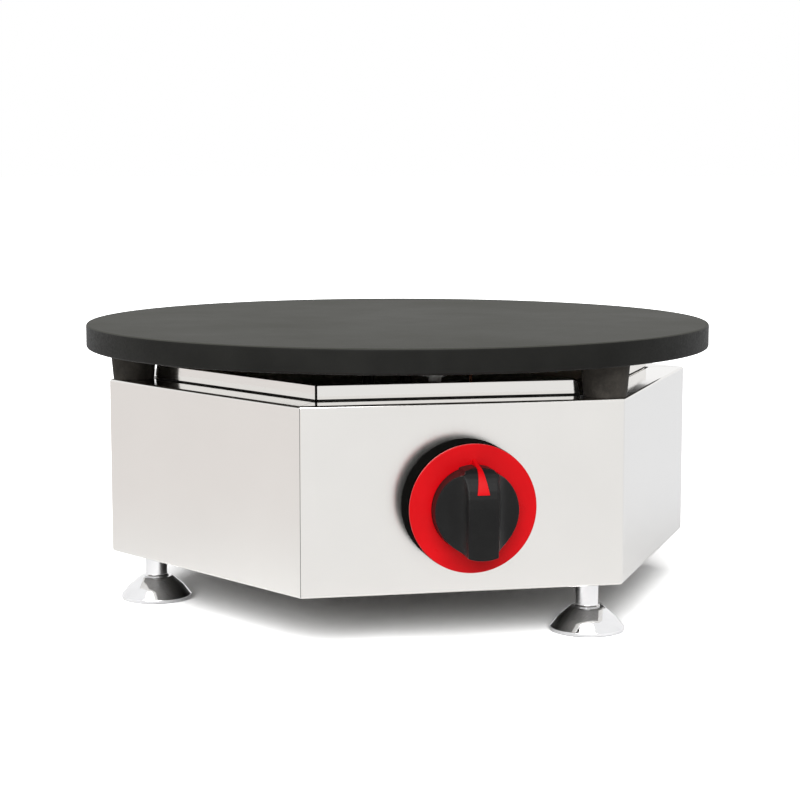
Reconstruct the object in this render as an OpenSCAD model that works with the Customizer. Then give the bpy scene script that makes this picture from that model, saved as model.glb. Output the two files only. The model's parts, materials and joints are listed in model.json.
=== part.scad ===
// Electric crepe maker: a round cast-iron griddle plate on a hexagonal
// stainless housing, with one thermostat knob and three levelling feet.
// Millimetres, +Z up, the knob faces -Y, and the feet stand on z = 0.

/* [Griddle plate] */
// Diameter of the cooking surface
plate_d = 400; // [392:1:410]
// Thickness of the casting at its rim
plate_t = 15; // [13:0.5:18]
// Rounding of the rim's upper edge
plate_edge_r = 1.5; // [0.5:0.25:3]
// Distance of the plate's rim to the left of the housing's centre
rim_offset = 5; // [0:0.5:6]
// Depth of the recess under the plate
recess_depth = 3; // [2:0.5:4]
// Radius of that recess
recess_r = 146; // [140:1:152]

/* [Plate legs] */
// Height of each cast leg, from the housing to the plate
leg_h = 19.5; // [16:0.5:26]
// Diameter of a leg where it leaves the plate
leg_top_d = 29; // [27:0.5:31]
// Diameter of a leg on the housing
leg_foot_d = 25.5; // [22:0.5:27]
// Distance of a leg's centre from the housing's corner
leg_inset = 15.5; // [15:0.5:18]
// Diameter of the bolt that holds a leg
leg_bolt_d = 8; // [6:1:8]

/* [Heating] */
// Diameter of the sheathed heating tubes
tube_d = 8; // [6.5:0.5:8.5]
// Radius of the outer heating loop
outer_loop_r = 116; // [112:1:122]
// Radius of the inner heating loop
inner_loop_r = 60; // [56:1:64]
// Distance between the two ends of a loop
loop_gap = 46; // [44:1:52]
// Bend radius where a loop turns down
tube_bend_r = 11; // [10:0.5:12]
// Thickness of the straps that clamp the loops
clamp_t = 3; // [2:0.5:4]
// Diameter of the thermostat's sensing bulb
bulb_d = 6; // [4:0.5:6.5]
// Length of the sensing bulb
bulb_l = 76; // [60:1:80]

/* [Housing] */
// Distance between two opposite panels
across_flats = 331.2; // [326:0.2:336]
// Height of the panels
housing_h = 110.5; // [104:0.5:120]
// Thickness of the stainless sheet
sheet_t = 1.2; // [0.8:0.1:1.5]
// Outside radius of the bent corners
corner_r = 2; // [1.6:0.1:3]
// Width of the flange around the top
flange_w = 22.4; // [21.5:0.1:24]
// Depth of the turned-down lip inside the flange
lip_h = 12; // [9:0.5:15]
// Width of the turned-in edge along the bottom
return_w = 14; // [12:0.5:16]
// Width of the mitre joints in the flange
mitre_w = 0.3; // [0.2:0.05:0.5]

/* [Reflector pan] */
// Height of the pan's collar above the flange
collar_h = 8.7; // [6:0.1:10]
// Thickness of the pan's sheet
pan_t = 1; // [0.8:0.1:1.2]
// Gap between the pan and the housing's lip
pan_gap = 0.4; // [0.2:0.1:0.8]
// Depth of the pan's floor below the flange
pan_depth = 24; // [21:0.5:27]
// Distance that the collar stops short of a leg's corner
collar_end = 9; // [8:0.5:14]
// Rounding of the collar's free ends
collar_end_r = 2.5; // [1:0.5:4]
// Width of the seams where collar strips meet
collar_seam = 1.5; // [0.8:0.1:2]
// Thickness of the insulation on the pan's floor
pad_t = 10; // [6:1:12]

/* [Knob] */
// Height of the knob's axis above the panels' lower edge
knob_height = 52.6; // [46:0.2:60]
// Diameter of the fixed bezel
bezel_d = 74.5; // [68:0.5:80]
// Depth of the bezel
bezel_depth = 18.6; // [17:0.2:22]
// Diameter of the coloured skirt ring
skirt_d = 74; // [66:0.5:78]
// Thickness of the skirt ring
skirt_t = 1.7; // [1.2:0.1:2.5]
// Diameter of the knob's boss inside the ring
boss_d = 48.5; // [42:0.5:50]
// Height of the boss's edge above the ring
boss_h = 9.5; // [7:0.5:12]
// Height of the grip bar above the ring
grip_h = 24.5; // [20:0.5:28]
// Width of the grip bar
grip_w = 17.4; // [14:0.2:20]
// Radius to the ends of the grip bar
grip_r = 25.4; // [25.1:0.1:26]
// Diameter of the thermostat's spindle
spindle_d = 6; // [5:0.5:7]
// Width of the pointer at its wide end
pointer_w = 7.2; // [5:0.2:8]
// Radius to the tip of the pointer
pointer_tip_r = 28; // [27:0.5:31]

/* [Feet] */
// Clear height under the housing
clear_h = 31.5; // [28:0.5:36]
// Distance of a foot's centre from the housing's corner
foot_inset = 28; // [26:0.5:32]
// Diameter of the foot cup's rim
cup_d = 43.5; // [38:0.5:48]
// Height of the foot cup
cup_h = 14.5; // [13:0.5:16]
// Diameter of the flat top of the cup
cup_top_d = 21; // [19:0.5:24]
// Wall of the pressed cup
cup_wall = 1.2; // [0.8:0.1:1.6]
// Diameter of the smooth stem
stem_d = 13.5; // [12:0.5:14]
// Diameter of the levelling thread
thread_d = 12; // [10:0.5:12]
// How far a foot can be screwed in from here
foot_up = 6; // [4:0.5:8]
// How far a foot can be screwed out from here
foot_down = 10; // [6:0.5:12]

/* [Cable gland] */
// Diameter of the cable that the gland takes
cable_d = 9; // [7:0.5:10]
// Height of the gland above the panels' lower edge
gland_height = 30; // [26:0.5:40]
// Diameter of the gland's thread
gland_thread_d = 20; // [19:0.5:22]

/* [Fits] */
// Radial clearance of a running shaft
run_fit = 0.05; // [0.03:0.01:0.08]
// Radial clearance of a bolt in its hole
bolt_fit = 0.4; // [0.2:0.1:0.6]
// Clearance between parts that move past each other
gap = 0.3; // [0.2:0.05:0.5]

/* [Hidden] */

$fn = 96;
eps = 0.01;

// A direction that no tube in the machine follows
TUBE_REF = unit([0.5, 0.23, 0.84]);

// The legs and feet stand at every second corner of the hexagon.
LEFT = 180;
RIGHT = 300;
REAR = 60;
LEG_ANGLES = [LEFT, RIGHT, REAR];
SEAM_ANGLES = [0, 120, 240];

// Housing, from its panels inwards
apothem = across_flats / 2;
housing_z = clear_h;
top_z = housing_z + housing_h;
lip_apothem = apothem - flange_w;
pan_apothem = lip_apothem - pan_gap;
pan_z = top_z - pan_depth;
rivet_shank_d = 3.2;
collar_slant = 2.3;
rivet_z = top_z - lip_h / 2 - 1;

// Griddle plate and what hangs under it
plate_r = plate_d / 2;
plate_z = top_z + leg_h;
recess_z = plate_z + recess_depth;
groove_fit = 0.2;
groove_depth = tube_d / 4;
tube_z = recess_z + groove_depth - tube_d / 2 - groove_fit;
tube_low_z = tube_z - tube_d / 2;
clamp_r = (outer_loop_r + inner_loop_r) / 2;
clamp_w = 16;
clamp_l = outer_loop_r - inner_loop_r + 2 * tube_d + 8;
CLAMP_ANGLES = [30, 150, 270];
stud_d = 8;
stud_nut_h = 6.5;
tube_end_z = pan_z - 16;
pin_d = 4;
pin_l = 12;
bushing_d = 13;
LOOPS = [outer_loop_r, inner_loop_r];

// Knob: heights are distances in front of the panel
knob_z = housing_z + knob_height;
carrier_z = bezel_depth + gap;
carrier_t = 1.2;
skirt_z = carrier_z + carrier_t;
skirt_face = skirt_z + skirt_t;
pointer_proud = 0.5;
knob_reach = skirt_face + grip_h + pointer_proud;
scoop_r = grip_h - boss_h;
hub_d = 18;
hub_back = 4;
spindle_end = skirt_face + 6;
spindle_flat = spindle_d * 0.25;
spindle_depth = 12;
bezel_wall = 2.4;
bezel_screw_r = 25;
screw_d = 4;

// Thermostat behind the front panel
bracket_t = 2;
bracket_h = 62;
stat_w = 40;
stat_h = 42;
stat_depth = 34;
stat_bush_d = 10;

// Feet
cup_floor = 0.6;
stem_gap = 0.1;
shoulder_z = housing_z + 3;
base_t = 1;
base_inset = 6;
base_screw_r = apothem - return_w + 4;
gusset_t = 3;
gusset_l = 44;
gusset_z = housing_z + sheet_t;
foot_boss_d = 22;
foot_boss_z = gusset_z + gusset_t;
thread_z = shoulder_z + foot_up + 1;
foot_boss_h = thread_z - foot_boss_z + 18;
thread_top_z = foot_boss_z + foot_boss_h + foot_down;
rivet_d = 8;

// Cable gland
gland_z = housing_z + gland_height;
gland_flange_t = 5;
gland_reach = 24;
seal_d = cable_d + 6;
seal_l = 16;

// Places in the wiring space under the pan
block_pos = [-60, 84];
block_size = [64, 26, 24];
block_poles = 4;
limiter_pos = [-62, 20];
earth_pos = [46, housing_z + 34];
capillary_d = 2;
capillary_drop = [44, 0];
capillary_way = [[44, -60], [16, -98]];
capillary_z = [pan_z - 14, pan_z - 20, pan_z - 24];
lead_d = 3.2;
lead_bend = 8;

// The hexagon's centre, placed so that the object's box is centred on the Z axis
hex_x = rim_offset;
hex_y = (apothem + knob_reach - plate_r) / 2;

// ---------------------------------------------------------------- helpers

function polar(r, a) = [r * cos(a), r * sin(a)];
function unit(v) = v / norm(v);
function turn(a, b) = acos(max(-1, min(1, a * b)));
function corner_at(inset, a) = polar(apothem / cos(30) - inset, a);

// Hexagon with corners at 0, 60, 120... degrees, each rounded to radius r
function hex_points(a, r, steps = 4) = [
  for (i = [0 : 5]) for (j = [0 : steps])
    polar((a - r) / cos(30), 60 * i) + polar(r, 60 * i - 30 + 60 * j / steps)
];

// Arc of radius r about c, from angle a to angle b
function arc(c, r, a, b, steps = 6) =
  [for (i = [0 : steps]) c + polar(r, a + (b - a) * i / steps)];

// Places children at the hexagon's centre
module centred(z = 0) translate([hex_x, hex_y, z]) children();

// Places children on the front panel at the knob's axis, with +Z outwards
module on_front() translate([hex_x, hex_y - apothem, knob_z]) rotate([90, 0, 0]) children();

// Places children on the rear panel at the gland, with +Z outwards
module on_rear() translate([hex_x, hex_y + apothem, gland_z]) rotate([-90, 0, 0]) children();

// Places children at a point of the plan, given from the hexagon's centre
module at_plan(p, z = 0) centred() translate([p.x, p.y, z]) children();

module hex_prism(a, r, h) linear_extrude(h) polygon(hex_points(a, r));

module hex_ring(a_out, r_out, a_in, r_in, h) {
  linear_extrude(h) difference() {
    polygon(hex_points(a_out, r_out));
    polygon(hex_points(a_in, r_in));
  }
}

module ring(r_out, r_in, h) {
  linear_extrude(h) difference() {
    circle(r_out);
    circle(r_in);
  }
}

// Hexagonal nut or bolt head, by its width across flats
module hex_head(flats, h) cylinder(d = flats / cos(30), h = h, $fn = 6);

// Screw with a rounded head: head above z = 0, shank below
module pan_screw(d, l) {
  translate([0, 0, -l]) cylinder(d = d, h = l + eps);
  rotate_extrude() polygon(concat(
    [[0, 0], [d, 0]], arc([d - d * 0.3, d * 0.3], d * 0.3, 0, 90), [[0, d * 0.6]]));
}

// Screw with its flat head down at z = 0, larger all round by fit for its hole
module countersunk(fit) {
  rotate_extrude() polygon([[0, -fit], [screw_d + fit, -fit], [screw_d + fit, 0],
    [screw_d / 2 + fit, screw_d / 2], [screw_d / 2 + fit, 8], [0, 8]]);
}

module slot_2d(l, w) {
  square([l - w, w], center = true);
  for (s = [-1, 1]) translate([s * (l - w) / 2, 0]) circle(w / 2);
}

module rounded_square(size, r) {
  square([size.x - 2 * r, size.y], center = true);
  square([size.x, size.y - 2 * r], center = true);
  for (x = [-1, 1], y = [-1, 1])
    translate([x * (size.x / 2 - r), y * (size.y / 2 - r)]) circle(r);
}

// Path with each inner corner turned into an arc of radius bend
function rounded_path(p, bend, steps = 4) = [
  p[0],
  for (i = [1 : len(p) - 2]) let (
      u = unit(p[i] - p[i - 1]), v = unit(p[i + 1] - p[i]), w = turn(u, v),
      n = unit(v - (u * v) * u), o = p[i] - u * bend * tan(w / 2) + n * bend)
    for (k = [0 : steps])
      o - n * bend * cos(w * k / steps) + u * bend * sin(w * k / steps),
  p[len(p) - 1]
];

// Points of a round section about p, square to the direction t
function section_at(p, t, d, sides) =
  let (x = unit(cross(TUBE_REF, t)), y = cross(t, x))
  [for (k = [0 : sides - 1]) p + (cos(360 * k / sides) * x + sin(360 * k / sides) * y) * d / 2];

// Direction of a path at its point i, halfway between the runs that meet there
function path_direction(p, i) =
  let (n = len(p) - 1, a = p[max(i, 1)] - p[max(i, 1) - 1], b = p[min(i, n - 1) + 1] - p[min(i, n - 1)])
  unit(unit(a) + unit(b));

// Solid tube or wire along a path
module swept_tube(path, d, sides = 8) {
  n = len(path) - 1;
  polyhedron(
    [for (i = [0 : n]) for (q = section_at(path[i], path_direction(path, i), d, sides)) q],
    concat(
      [[for (k = [0 : sides - 1]) k], [for (k = [sides - 1 : -1 : 0]) n * sides + k]],
      [for (i = [0 : n - 1], k = [0 : sides - 1])
        [i * sides + k, (i + 1) * sides + k, (i + 1) * sides + (k + 1) % sides]],
      [for (i = [0 : n - 1], k = [0 : sides - 1])
        [i * sides + k, (i + 1) * sides + (k + 1) % sides, i * sides + (k + 1) % sides]]));
}

module bent_tube(p, d, bend) swept_tube(rounded_path(p, bend), d);

// ------------------------------------------------------------ griddle plate

// Half the angle left open in a heating loop of radius r
function loop_half_gap(r) = asin(loop_gap / 2 / r);

// Plan position of a loop's end: side is -1 or 1 about the rear of the plate
function loop_end(r, side) = polar(r, 90 - side * loop_half_gap(r));
function loop_tangent(r, side) = polar(1, 90 - side * loop_half_gap(r) + side * 90);
function loop_drop(r, side) = loop_end(r, side) + loop_tangent(r, side) * tube_bend_r;

module griddle_plate() {
  top = plate_z + plate_t;
  color([0.17, 0.17, 0.16]) centred() difference() {
    union() {
      translate([-rim_offset, 0]) rotate_extrude($fn = 192) polygon(concat(
        [[0, recess_z], [recess_r - recess_depth, recess_z], [recess_r, plate_z]],
        arc([plate_r - plate_edge_r, plate_z + plate_edge_r], plate_edge_r, -90, 0),
        arc([plate_r - plate_edge_r, top - plate_edge_r], plate_edge_r, 0, 90),
        [[0, top]]));
      for (a = LEG_ANGLES) translate(corner_at(leg_inset, a)) translate([0, 0, top_z])
        cylinder(d1 = leg_foot_d, d2 = leg_top_d, h = leg_h + eps);
      for (a = CLAMP_ANGLES) translate(polar(clamp_r, a))
        translate([0, 0, tube_low_z + 1]) cylinder(d = 2.4 * stud_d, h = recess_z - tube_low_z);
    }
    for (r = LOOPS) loop_groove(r);
    for (a = LEG_ANGLES) translate(corner_at(leg_inset, a)) translate([0, 0, top_z - eps])
      cylinder(d = leg_bolt_d + 2 * run_fit, h = leg_h);
    for (a = CLAMP_ANGLES) translate(polar(clamp_r, a)) translate([0, 0, tube_low_z])
      cylinder(d = stud_d + 2 * run_fit, h = recess_z - tube_low_z + 5);
    for (s = [-1, 1]) translate([0, s * clip_screw_y, recess_z - eps])
      cylinder(d = clip_screw_d + 2 * run_fit, h = 5);
  }
}

// Seat for a heating loop in the underside of the plate
module loop_groove(r) {
  rotate_extrude($fn = 192) translate([r, tube_z]) circle(d = tube_d + 2 * groove_fit);
}

// Path of a heating tube: up through the pan, once round and down again
function loop_path(r) =
  let (half = loop_half_gap(r), steps = 54, low = [0, 0, tube_end_z - tube_z])
  concat(
    [at_tube(loop_drop(r, -1)) + low],
    loop_bend(r, -1),
    [for (i = [1 : steps - 1]) at_tube(polar(r, 90 + half + (360 - 2 * half) * i / steps))],
    [for (i = [4 : -1 : 0]) loop_bend(r, 1)[i]],
    [at_tube(loop_drop(r, 1)) + low]);

function at_tube(p) = [p.x, p.y, tube_z];

// Arc from a vertical end into the loop
function loop_bend(r, side) = [for (k = [0 : 4]) let (w = 90 - 90 * k / 4)
  at_tube(loop_end(r, side)) + concat(loop_tangent(r, side) * tube_bend_r * sin(w), [0])
    - [0, 0, tube_bend_r * (1 - cos(w))]];

// Heating tube bent to one loop, with a terminal pin on each end
module heating_loop(r) {
  color([0.35, 0.33, 0.32]) centred() {
    swept_tube(loop_path(r), tube_d, 12);
    for (side = [-1, 1]) translate(at_tube(loop_drop(r, side)))
      translate([0, 0, tube_end_z - pin_l - tube_z]) cylinder(d = pin_d, h = pin_l + 4, $fn = 32);
  }
}

module outer_element() heating_loop(outer_loop_r);
module inner_element() heating_loop(inner_loop_r);

// Straps that press both loops into their grooves
module element_clamps() {
  color("silver") centred(tube_low_z - clamp_t) for (a = CLAMP_ANGLES) rotate(a)
    translate([clamp_r, 0]) linear_extrude(clamp_t) difference() {
      slot_2d(clamp_l, clamp_w);
      circle(d = stud_d + 2 * bolt_fit);
    }
}

module clamp_studs() {
  low = tube_low_z - clamp_t - stud_nut_h - 3;
  color("dimgray") centred() for (a = CLAMP_ANGLES) translate(polar(clamp_r, a))
    translate([0, 0, low]) cylinder(d = stud_d, h = recess_z + 4 - low);
}

module clamp_nuts() {
  color("silver") centred(tube_low_z - clamp_t - stud_nut_h) for (a = CLAMP_ANGLES)
    translate(polar(clamp_r, a)) difference() {
      hex_head(13, stud_nut_h);
      translate([0, 0, -eps]) cylinder(d = stud_d + 2 * run_fit, h = stud_nut_h + 2 * eps);
    }
}

bulb_z = recess_z - bulb_d / 2 - groove_fit;

module sensing_bulb() {
  color([0.72, 0.45, 0.3]) centred()
    translate([-bulb_l / 2, 0, bulb_z]) rotate([0, 90, 0]) cylinder(d = bulb_d, h = bulb_l);
}

clip_t = 1;
clip_wing = 10;
clip_screw_d = 3;
clip_screw_y = bulb_d / 2 + groove_fit + clip_wing / 2 + 1;

// Saddle that holds the bulb against the plate
module bulb_clip() {
  clip_w = 12;
  saddle_r = bulb_d / 2 + groove_fit;
  color("silver") centred() difference() {
    translate([-clip_w / 2, 0, bulb_z]) rotate([90, 0, 90]) linear_extrude(clip_w) difference() {
      union() {
        circle(saddle_r + clip_t);
        translate([-saddle_r - clip_wing, saddle_r - clip_t])
          square([2 * (saddle_r + clip_wing), clip_t]);
      }
      circle(saddle_r);
      translate([-saddle_r, 0]) square([2 * saddle_r, saddle_r + clip_t]);
      translate([-2 * saddle_r, saddle_r]) square([4 * saddle_r, 2 * clip_t]);
    }
    for (s = [-1, 1]) translate([0, s * clip_screw_y, recess_z - 2 * clip_t])
      cylinder(d = clip_screw_d + 2 * run_fit, h = 3 * clip_t);
  }
}

module clip_screws() {
  color("silver") centred(recess_z - clip_t) for (s = [-1, 1]) translate([0, s * clip_screw_y])
    rotate([180, 0, 0]) pan_screw(clip_screw_d, clip_t + 4);
}

// Hexagon bolts with washers that hold the legs from inside the housing
module leg_bolts() {
  washer_t = 1.5;
  head_h = 5.3;
  color("silver") centred() for (a = LEG_ANGLES) translate(corner_at(leg_inset, a))
    translate([0, 0, top_z - sheet_t]) {
      translate([0, 0, -washer_t - head_h]) hex_head(13, head_h + washer_t / 2);
      translate([0, 0, -washer_t]) cylinder(d = 15.5, h = washer_t);
      translate([0, 0, -washer_t - 1]) cylinder(d = leg_bolt_d, h = leg_h + washer_t - 2);
    }
}

// ----------------------------------------------------------- reflector pan

// Free edge of one collar strip: x runs along the side from a leg's corner
module collar_strip_2d(side_l) {
  polygon(concat(
    [[collar_end - collar_slant, 0]],
    arc([collar_end + collar_end_r, collar_h - collar_end_r], collar_end_r,
      180 - atan(collar_slant / collar_h), 90),
    [[side_l - collar_seam / 2, collar_h], [side_l - collar_seam / 2, 0]]));
}

// Positions of the holes that the pan and the insulation share
DROPS = [for (r = LOOPS) for (side = [-1, 1]) loop_drop(r, side)];

module reflector_pan() {
  side_l = 2 * pan_apothem * tan(30);
  slit_h = 5;
  color("lightgray") centred() difference() {
    union() {
      translate([0, 0, pan_z]) hex_prism(pan_apothem, 1.5, pan_t);
      translate([0, 0, pan_z]) hex_ring(pan_apothem, 1.5, pan_apothem - pan_t, 0.5, pan_depth);
      for (a = LEG_ANGLES) for (m = [0, 1]) rotate(a) mirror([0, m, 0])
        translate([pan_apothem / cos(30), 0, top_z]) rotate([90, 0, 120])
          translate([0, 0, -pan_t]) linear_extrude(pan_t) collar_strip_2d(side_l);
    }
    for (a = SEAM_ANGLES) rotate(a)
      translate([pan_apothem - 20, -collar_seam / 2, top_z - slit_h])
        cube([60, collar_seam, slit_h + collar_h + 1]);
    for (p = DROPS) translate([p.x, p.y, pan_z - eps])
      cylinder(d = bushing_d + 2 * groove_fit, h = pan_t + 2 * eps);
    translate([capillary_drop.x, capillary_drop.y, pan_z - eps])
      cylinder(d = 8, h = pan_t + 2 * eps);
    for (i = [0 : 5]) rotate(60 * i + 30) translate([pan_apothem + 1, 0, rivet_z])
      rotate([0, -90, 0]) cylinder(d = rivet_shank_d, h = pan_t + 2);
  }
}

// Rivets that join the pan to the housing's lip, one on each side
module pan_rivets() {
  grip = sheet_t + pan_gap + pan_t;
  color("silver") centred() for (i = [0 : 5]) rotate(60 * i + 30)
    translate([lip_apothem + sheet_t, 0, rivet_z]) rotate([0, -90, 0]) {
      cylinder(d = rivet_shank_d - 0.1, h = grip, $fn = 32);
      translate([0, 0, grip]) cylinder(d1 = 6.5, d2 = 4, h = 1.4, $fn = 32);
      translate([0, 0, -1.2]) cylinder(d1 = 4, d2 = 5.5, h = 1.2, $fn = 32);
    }
}

module insulation_pad() {
  color("whitesmoke") centred(pan_z + pan_t) difference() {
    hex_prism(pan_apothem - pan_t - 1, 2, pad_t);
    for (p = DROPS) translate([p.x, p.y, -eps]) cylinder(d = bushing_d + 2, h = pad_t + 1);
    translate([capillary_drop.x, capillary_drop.y, -eps]) cylinder(d = 9, h = pad_t + 1);
  }
}

// Ceramic sleeves that carry the tube ends through the pan's floor
module element_bushings() {
  collar_t = 3;
  color("ivory") centred() for (p = DROPS) translate([p.x, p.y, 0]) difference() {
    union() {
      translate([0, 0, pan_z - 6]) cylinder(d = bushing_d, h = 6 + pan_t + collar_t);
      translate([0, 0, pan_z - collar_t]) cylinder(d = bushing_d + 4, h = collar_t);
    }
    translate([0, 0, pan_z - 7]) cylinder(d = tube_d + 2 * run_fit, h = 20);
  }
}

// ----------------------------------------------------------------- housing

module housing() {
  color([0.86, 0.86, 0.86]) difference() {
    centred() union() {
      translate([0, 0, housing_z])
        hex_ring(apothem, corner_r, apothem - sheet_t, corner_r - sheet_t, housing_h);
      translate([0, 0, top_z - sheet_t])
        hex_ring(apothem, corner_r, lip_apothem, 0.4, sheet_t);
      translate([0, 0, top_z - lip_h])
        hex_ring(lip_apothem + sheet_t, 1.2, lip_apothem, 0.4, lip_h);
      translate([0, 0, housing_z])
        hex_ring(apothem, corner_r, apothem - return_w, 0.4, sheet_t);
    }
    centred() {
      for (a = SEAM_ANGLES) rotate(a) translate([lip_apothem + sheet_t + 3, -mitre_w / 2, top_z - sheet_t / 2])
        cube([flange_w * 2, mitre_w, sheet_t]);
      for (a = LEG_ANGLES) translate(corner_at(leg_inset, a))
        translate([0, 0, top_z - sheet_t - 1]) cylinder(d = leg_bolt_d + 2 * bolt_fit, h = sheet_t + 2);
      for (i = [0 : 5]) rotate(60 * i + 30) {
        translate([lip_apothem + sheet_t + 1, 0, rivet_z]) rotate([0, -90, 0])
          cylinder(d = rivet_shank_d, h = sheet_t + 2);
        translate([base_screw_r, 0, housing_z - base_t]) countersunk(groove_fit);
      }
    }
    on_front() translate([0, 0, -sheet_t - 1]) {
      cylinder(d = stat_bush_d + 2, h = sheet_t + 2);
      for (s = [-1, 1]) translate([0, s * bezel_screw_r]) cylinder(d = screw_d + 2 * bolt_fit, h = sheet_t + 2);
    }
    on_rear() translate([0, 0, -sheet_t - 1])
      cylinder(d = gland_thread_d + 2 * bolt_fit, h = sheet_t + 2);
  }
}

// Plates welded across the bottom corners, above the turned-in edge
module corner_gussets() {
  color("silver") centred(gusset_z) for (a = LEG_ANGLES) difference() {
    intersection() {
      hex_prism(apothem - sheet_t - 0.1, 1, gusset_t);
      rotate(a) translate([apothem / cos(30) - gusset_l, -apothem, 0])
        cube([2 * gusset_l, 2 * apothem, gusset_t]);
    }
    translate(corner_at(foot_inset, a)) translate([0, 0, -eps])
      cylinder(d = stem_d + 2 * gap, h = gusset_t + 2 * eps);
  }
}

// Turned bosses on the gussets: a counterbore for the stem, then the thread
module foot_bosses() {
  color("silver") centred(foot_boss_z) for (a = LEG_ANGLES)
    translate(corner_at(foot_inset, a)) rotate_extrude() polygon([
      [stem_d / 2 + gap, 0], [foot_boss_d / 2, 0], [foot_boss_d / 2, foot_boss_h - 1],
      [foot_boss_d / 2 - 1, foot_boss_h], [thread_d / 2 + run_fit, foot_boss_h],
      [thread_d / 2 + run_fit, thread_z - foot_boss_z], [stem_d / 2 + gap, thread_z - foot_boss_z]]);
}

module base_plate() {
  vent_l = 46;
  vent_w = 5;
  vent_step = [58, 13];
  color("silver") centred(housing_z - base_t) difference() {
    hex_prism(apothem - base_inset, corner_r, base_t);
    for (x = [-1 : 1], y = [-4 : 3])
      translate([x * vent_step.x, y * vent_step.y, -eps]) linear_extrude(base_t + 2 * eps)
        slot_2d(vent_l, vent_w);
    for (a = LEG_ANGLES) translate(corner_at(foot_inset, a)) translate([0, 0, -eps])
      cylinder(d = stem_d + 3, h = base_t + 2 * eps);
    for (i = [0 : 5]) rotate(60 * i + 30) translate([base_screw_r, 0]) countersunk(groove_fit);
    for (s = [-1, 1]) translate([block_pos.x + s * (block_size.x / 2 - 5), block_pos.y, -eps])
      cylinder(d = screw_d + 0.2, h = base_t + 2 * eps);
  }
}

module base_screws() {
  color("silver") centred(housing_z - base_t) for (i = [0 : 5])
    rotate(60 * i + 30) translate([base_screw_r, 0]) countersunk(0);
}

// ---------------------------------------------------------- knob and bezel

// Fixed drum behind the knob's skirt
module knob_bezel() {
  color([0.05, 0.05, 0.05]) on_front() difference() {
    rotate_extrude() polygon(concat(
      [[hub_d / 2 + 3, 0], [bezel_d / 2, 0]],
      arc([bezel_d / 2 - 1, bezel_depth - 1], 1, 0, 90),
      [[bezel_d / 2 - bezel_wall, bezel_depth], [bezel_d / 2 - bezel_wall, 2.5],
       [hub_d / 2 + 3, 2.5]]));
    for (s = [-1, 1]) translate([0, s * bezel_screw_r, -eps])
      cylinder(d = screw_d + 2 * bolt_fit, h = 3);
  }
}

module bezel_screws() {
  color("silver") on_front() for (s = [-1, 1])
    translate([0, s * bezel_screw_r, 2.5]) pan_screw(screw_d, 2.5 + sheet_t + bracket_t + 1);
}

// Section across the grip: a bar between two scooped flanks
module grip_section() {
  difference() {
    translate([-boss_d / 2 - 1, 0]) square([boss_d + 2, grip_h]);
    for (s = [-1, 1]) translate([s * (grip_w / 2 + scoop_r), grip_h]) circle(scoop_r);
  }
}

// Side view of the grip: x points to the knob's upper end, y outwards
grip_slope = [[12.5, grip_h], [19, grip_h - 4.2], [grip_r, boss_h]];

module grip_blank() {
  intersection() {
    union() {
      intersection() {
        cylinder(d = boss_d, h = grip_h);
        rotate([90, 0, 0]) linear_extrude(2 * grip_r, center = true) grip_section();
      }
      intersection() {
        cylinder(r = grip_r, h = grip_h);
        translate([-grip_w / 2, -grip_r, 0]) cube([grip_w, 2 * grip_r, grip_h]);
      }
    }
    rotate([90, 0, 90]) linear_extrude(4 * grip_r, center = true) polygon(concat(
      [[-2 * grip_r, 0], [2 * grip_r, 0], [2 * grip_r, boss_h]],
      [for (i = [2 : -1 : 0]) grip_slope[i]],
      arc([-grip_r + 1.5, grip_h - 1.5], 1.5, 90, 180), [[-2 * grip_r, grip_h - 1.5]]));
  }
}

// Red wedge let into the grip, from the ring over the sloping end
module pointer_solid() {
  base_y = 11.5;
  sink = 1.2;
  tip_w = 1.6;
  intersection() {
    linear_extrude(grip_h + 1) polygon([
      [-pointer_w / 2, base_y], [pointer_w / 2, base_y],
      [tip_w / 2, pointer_tip_r], [-tip_w / 2, pointer_tip_r]]);
    rotate([90, 0, 90]) linear_extrude(pointer_w + 2, center = true) polygon([
      [base_y, grip_h - sink], [grip_slope[0].x - sink / 2, grip_h - sink],
      grip_slope[1] - [sink, sink], grip_slope[2] - [sink, 0], [grip_r - sink, 0],
      [pointer_tip_r, 0], [pointer_tip_r, 1.2], [grip_r + pointer_proud, boss_h],
      grip_slope[1] + [pointer_proud, pointer_proud],
      [grip_slope[0].x, grip_h + pointer_proud], [base_y, grip_h + pointer_proud]]);
  }
}

// Round shaft with one flat, as a 2D section
module d_section(d, flat) {
  difference() {
    circle(d = d, $fn = 48);
    translate([-d, d / 2 - flat]) square([2 * d, d]);
  }
}

module knob_body() {
  bore_d = spindle_d + 2 * run_fit;
  color([0.13, 0.13, 0.14]) on_front() difference() {
    union() {
      translate([0, 0, hub_back]) cylinder(d = hub_d, h = carrier_z - hub_back + eps);
      translate([0, 0, carrier_z]) cylinder(d = skirt_d - 2, h = carrier_t);
      translate([0, 0, skirt_z]) cylinder(d = boss_d, h = skirt_t);
      translate([0, 0, skirt_face]) grip_blank();
    }
    translate([0, 0, skirt_face]) pointer_solid();
    translate([0, 0, hub_back - eps]) linear_extrude(spindle_end + 0.5 - hub_back)
      d_section(bore_d, spindle_flat);
  }
}

module knob_skirt() {
  edge = 0.5;
  color([0.82, 0.03, 0.05]) on_front() rotate_extrude() polygon([
    [boss_d / 2 + 0.1, skirt_z], [skirt_d / 2, skirt_z], [skirt_d / 2, skirt_face - edge],
    [skirt_d / 2 - edge, skirt_face], [boss_d / 2 + 0.1, skirt_face]]);
}

module knob_pointer() {
  color([0.85, 0.05, 0.07]) on_front() translate([0, 0, skirt_face]) pointer_solid();
}

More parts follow.
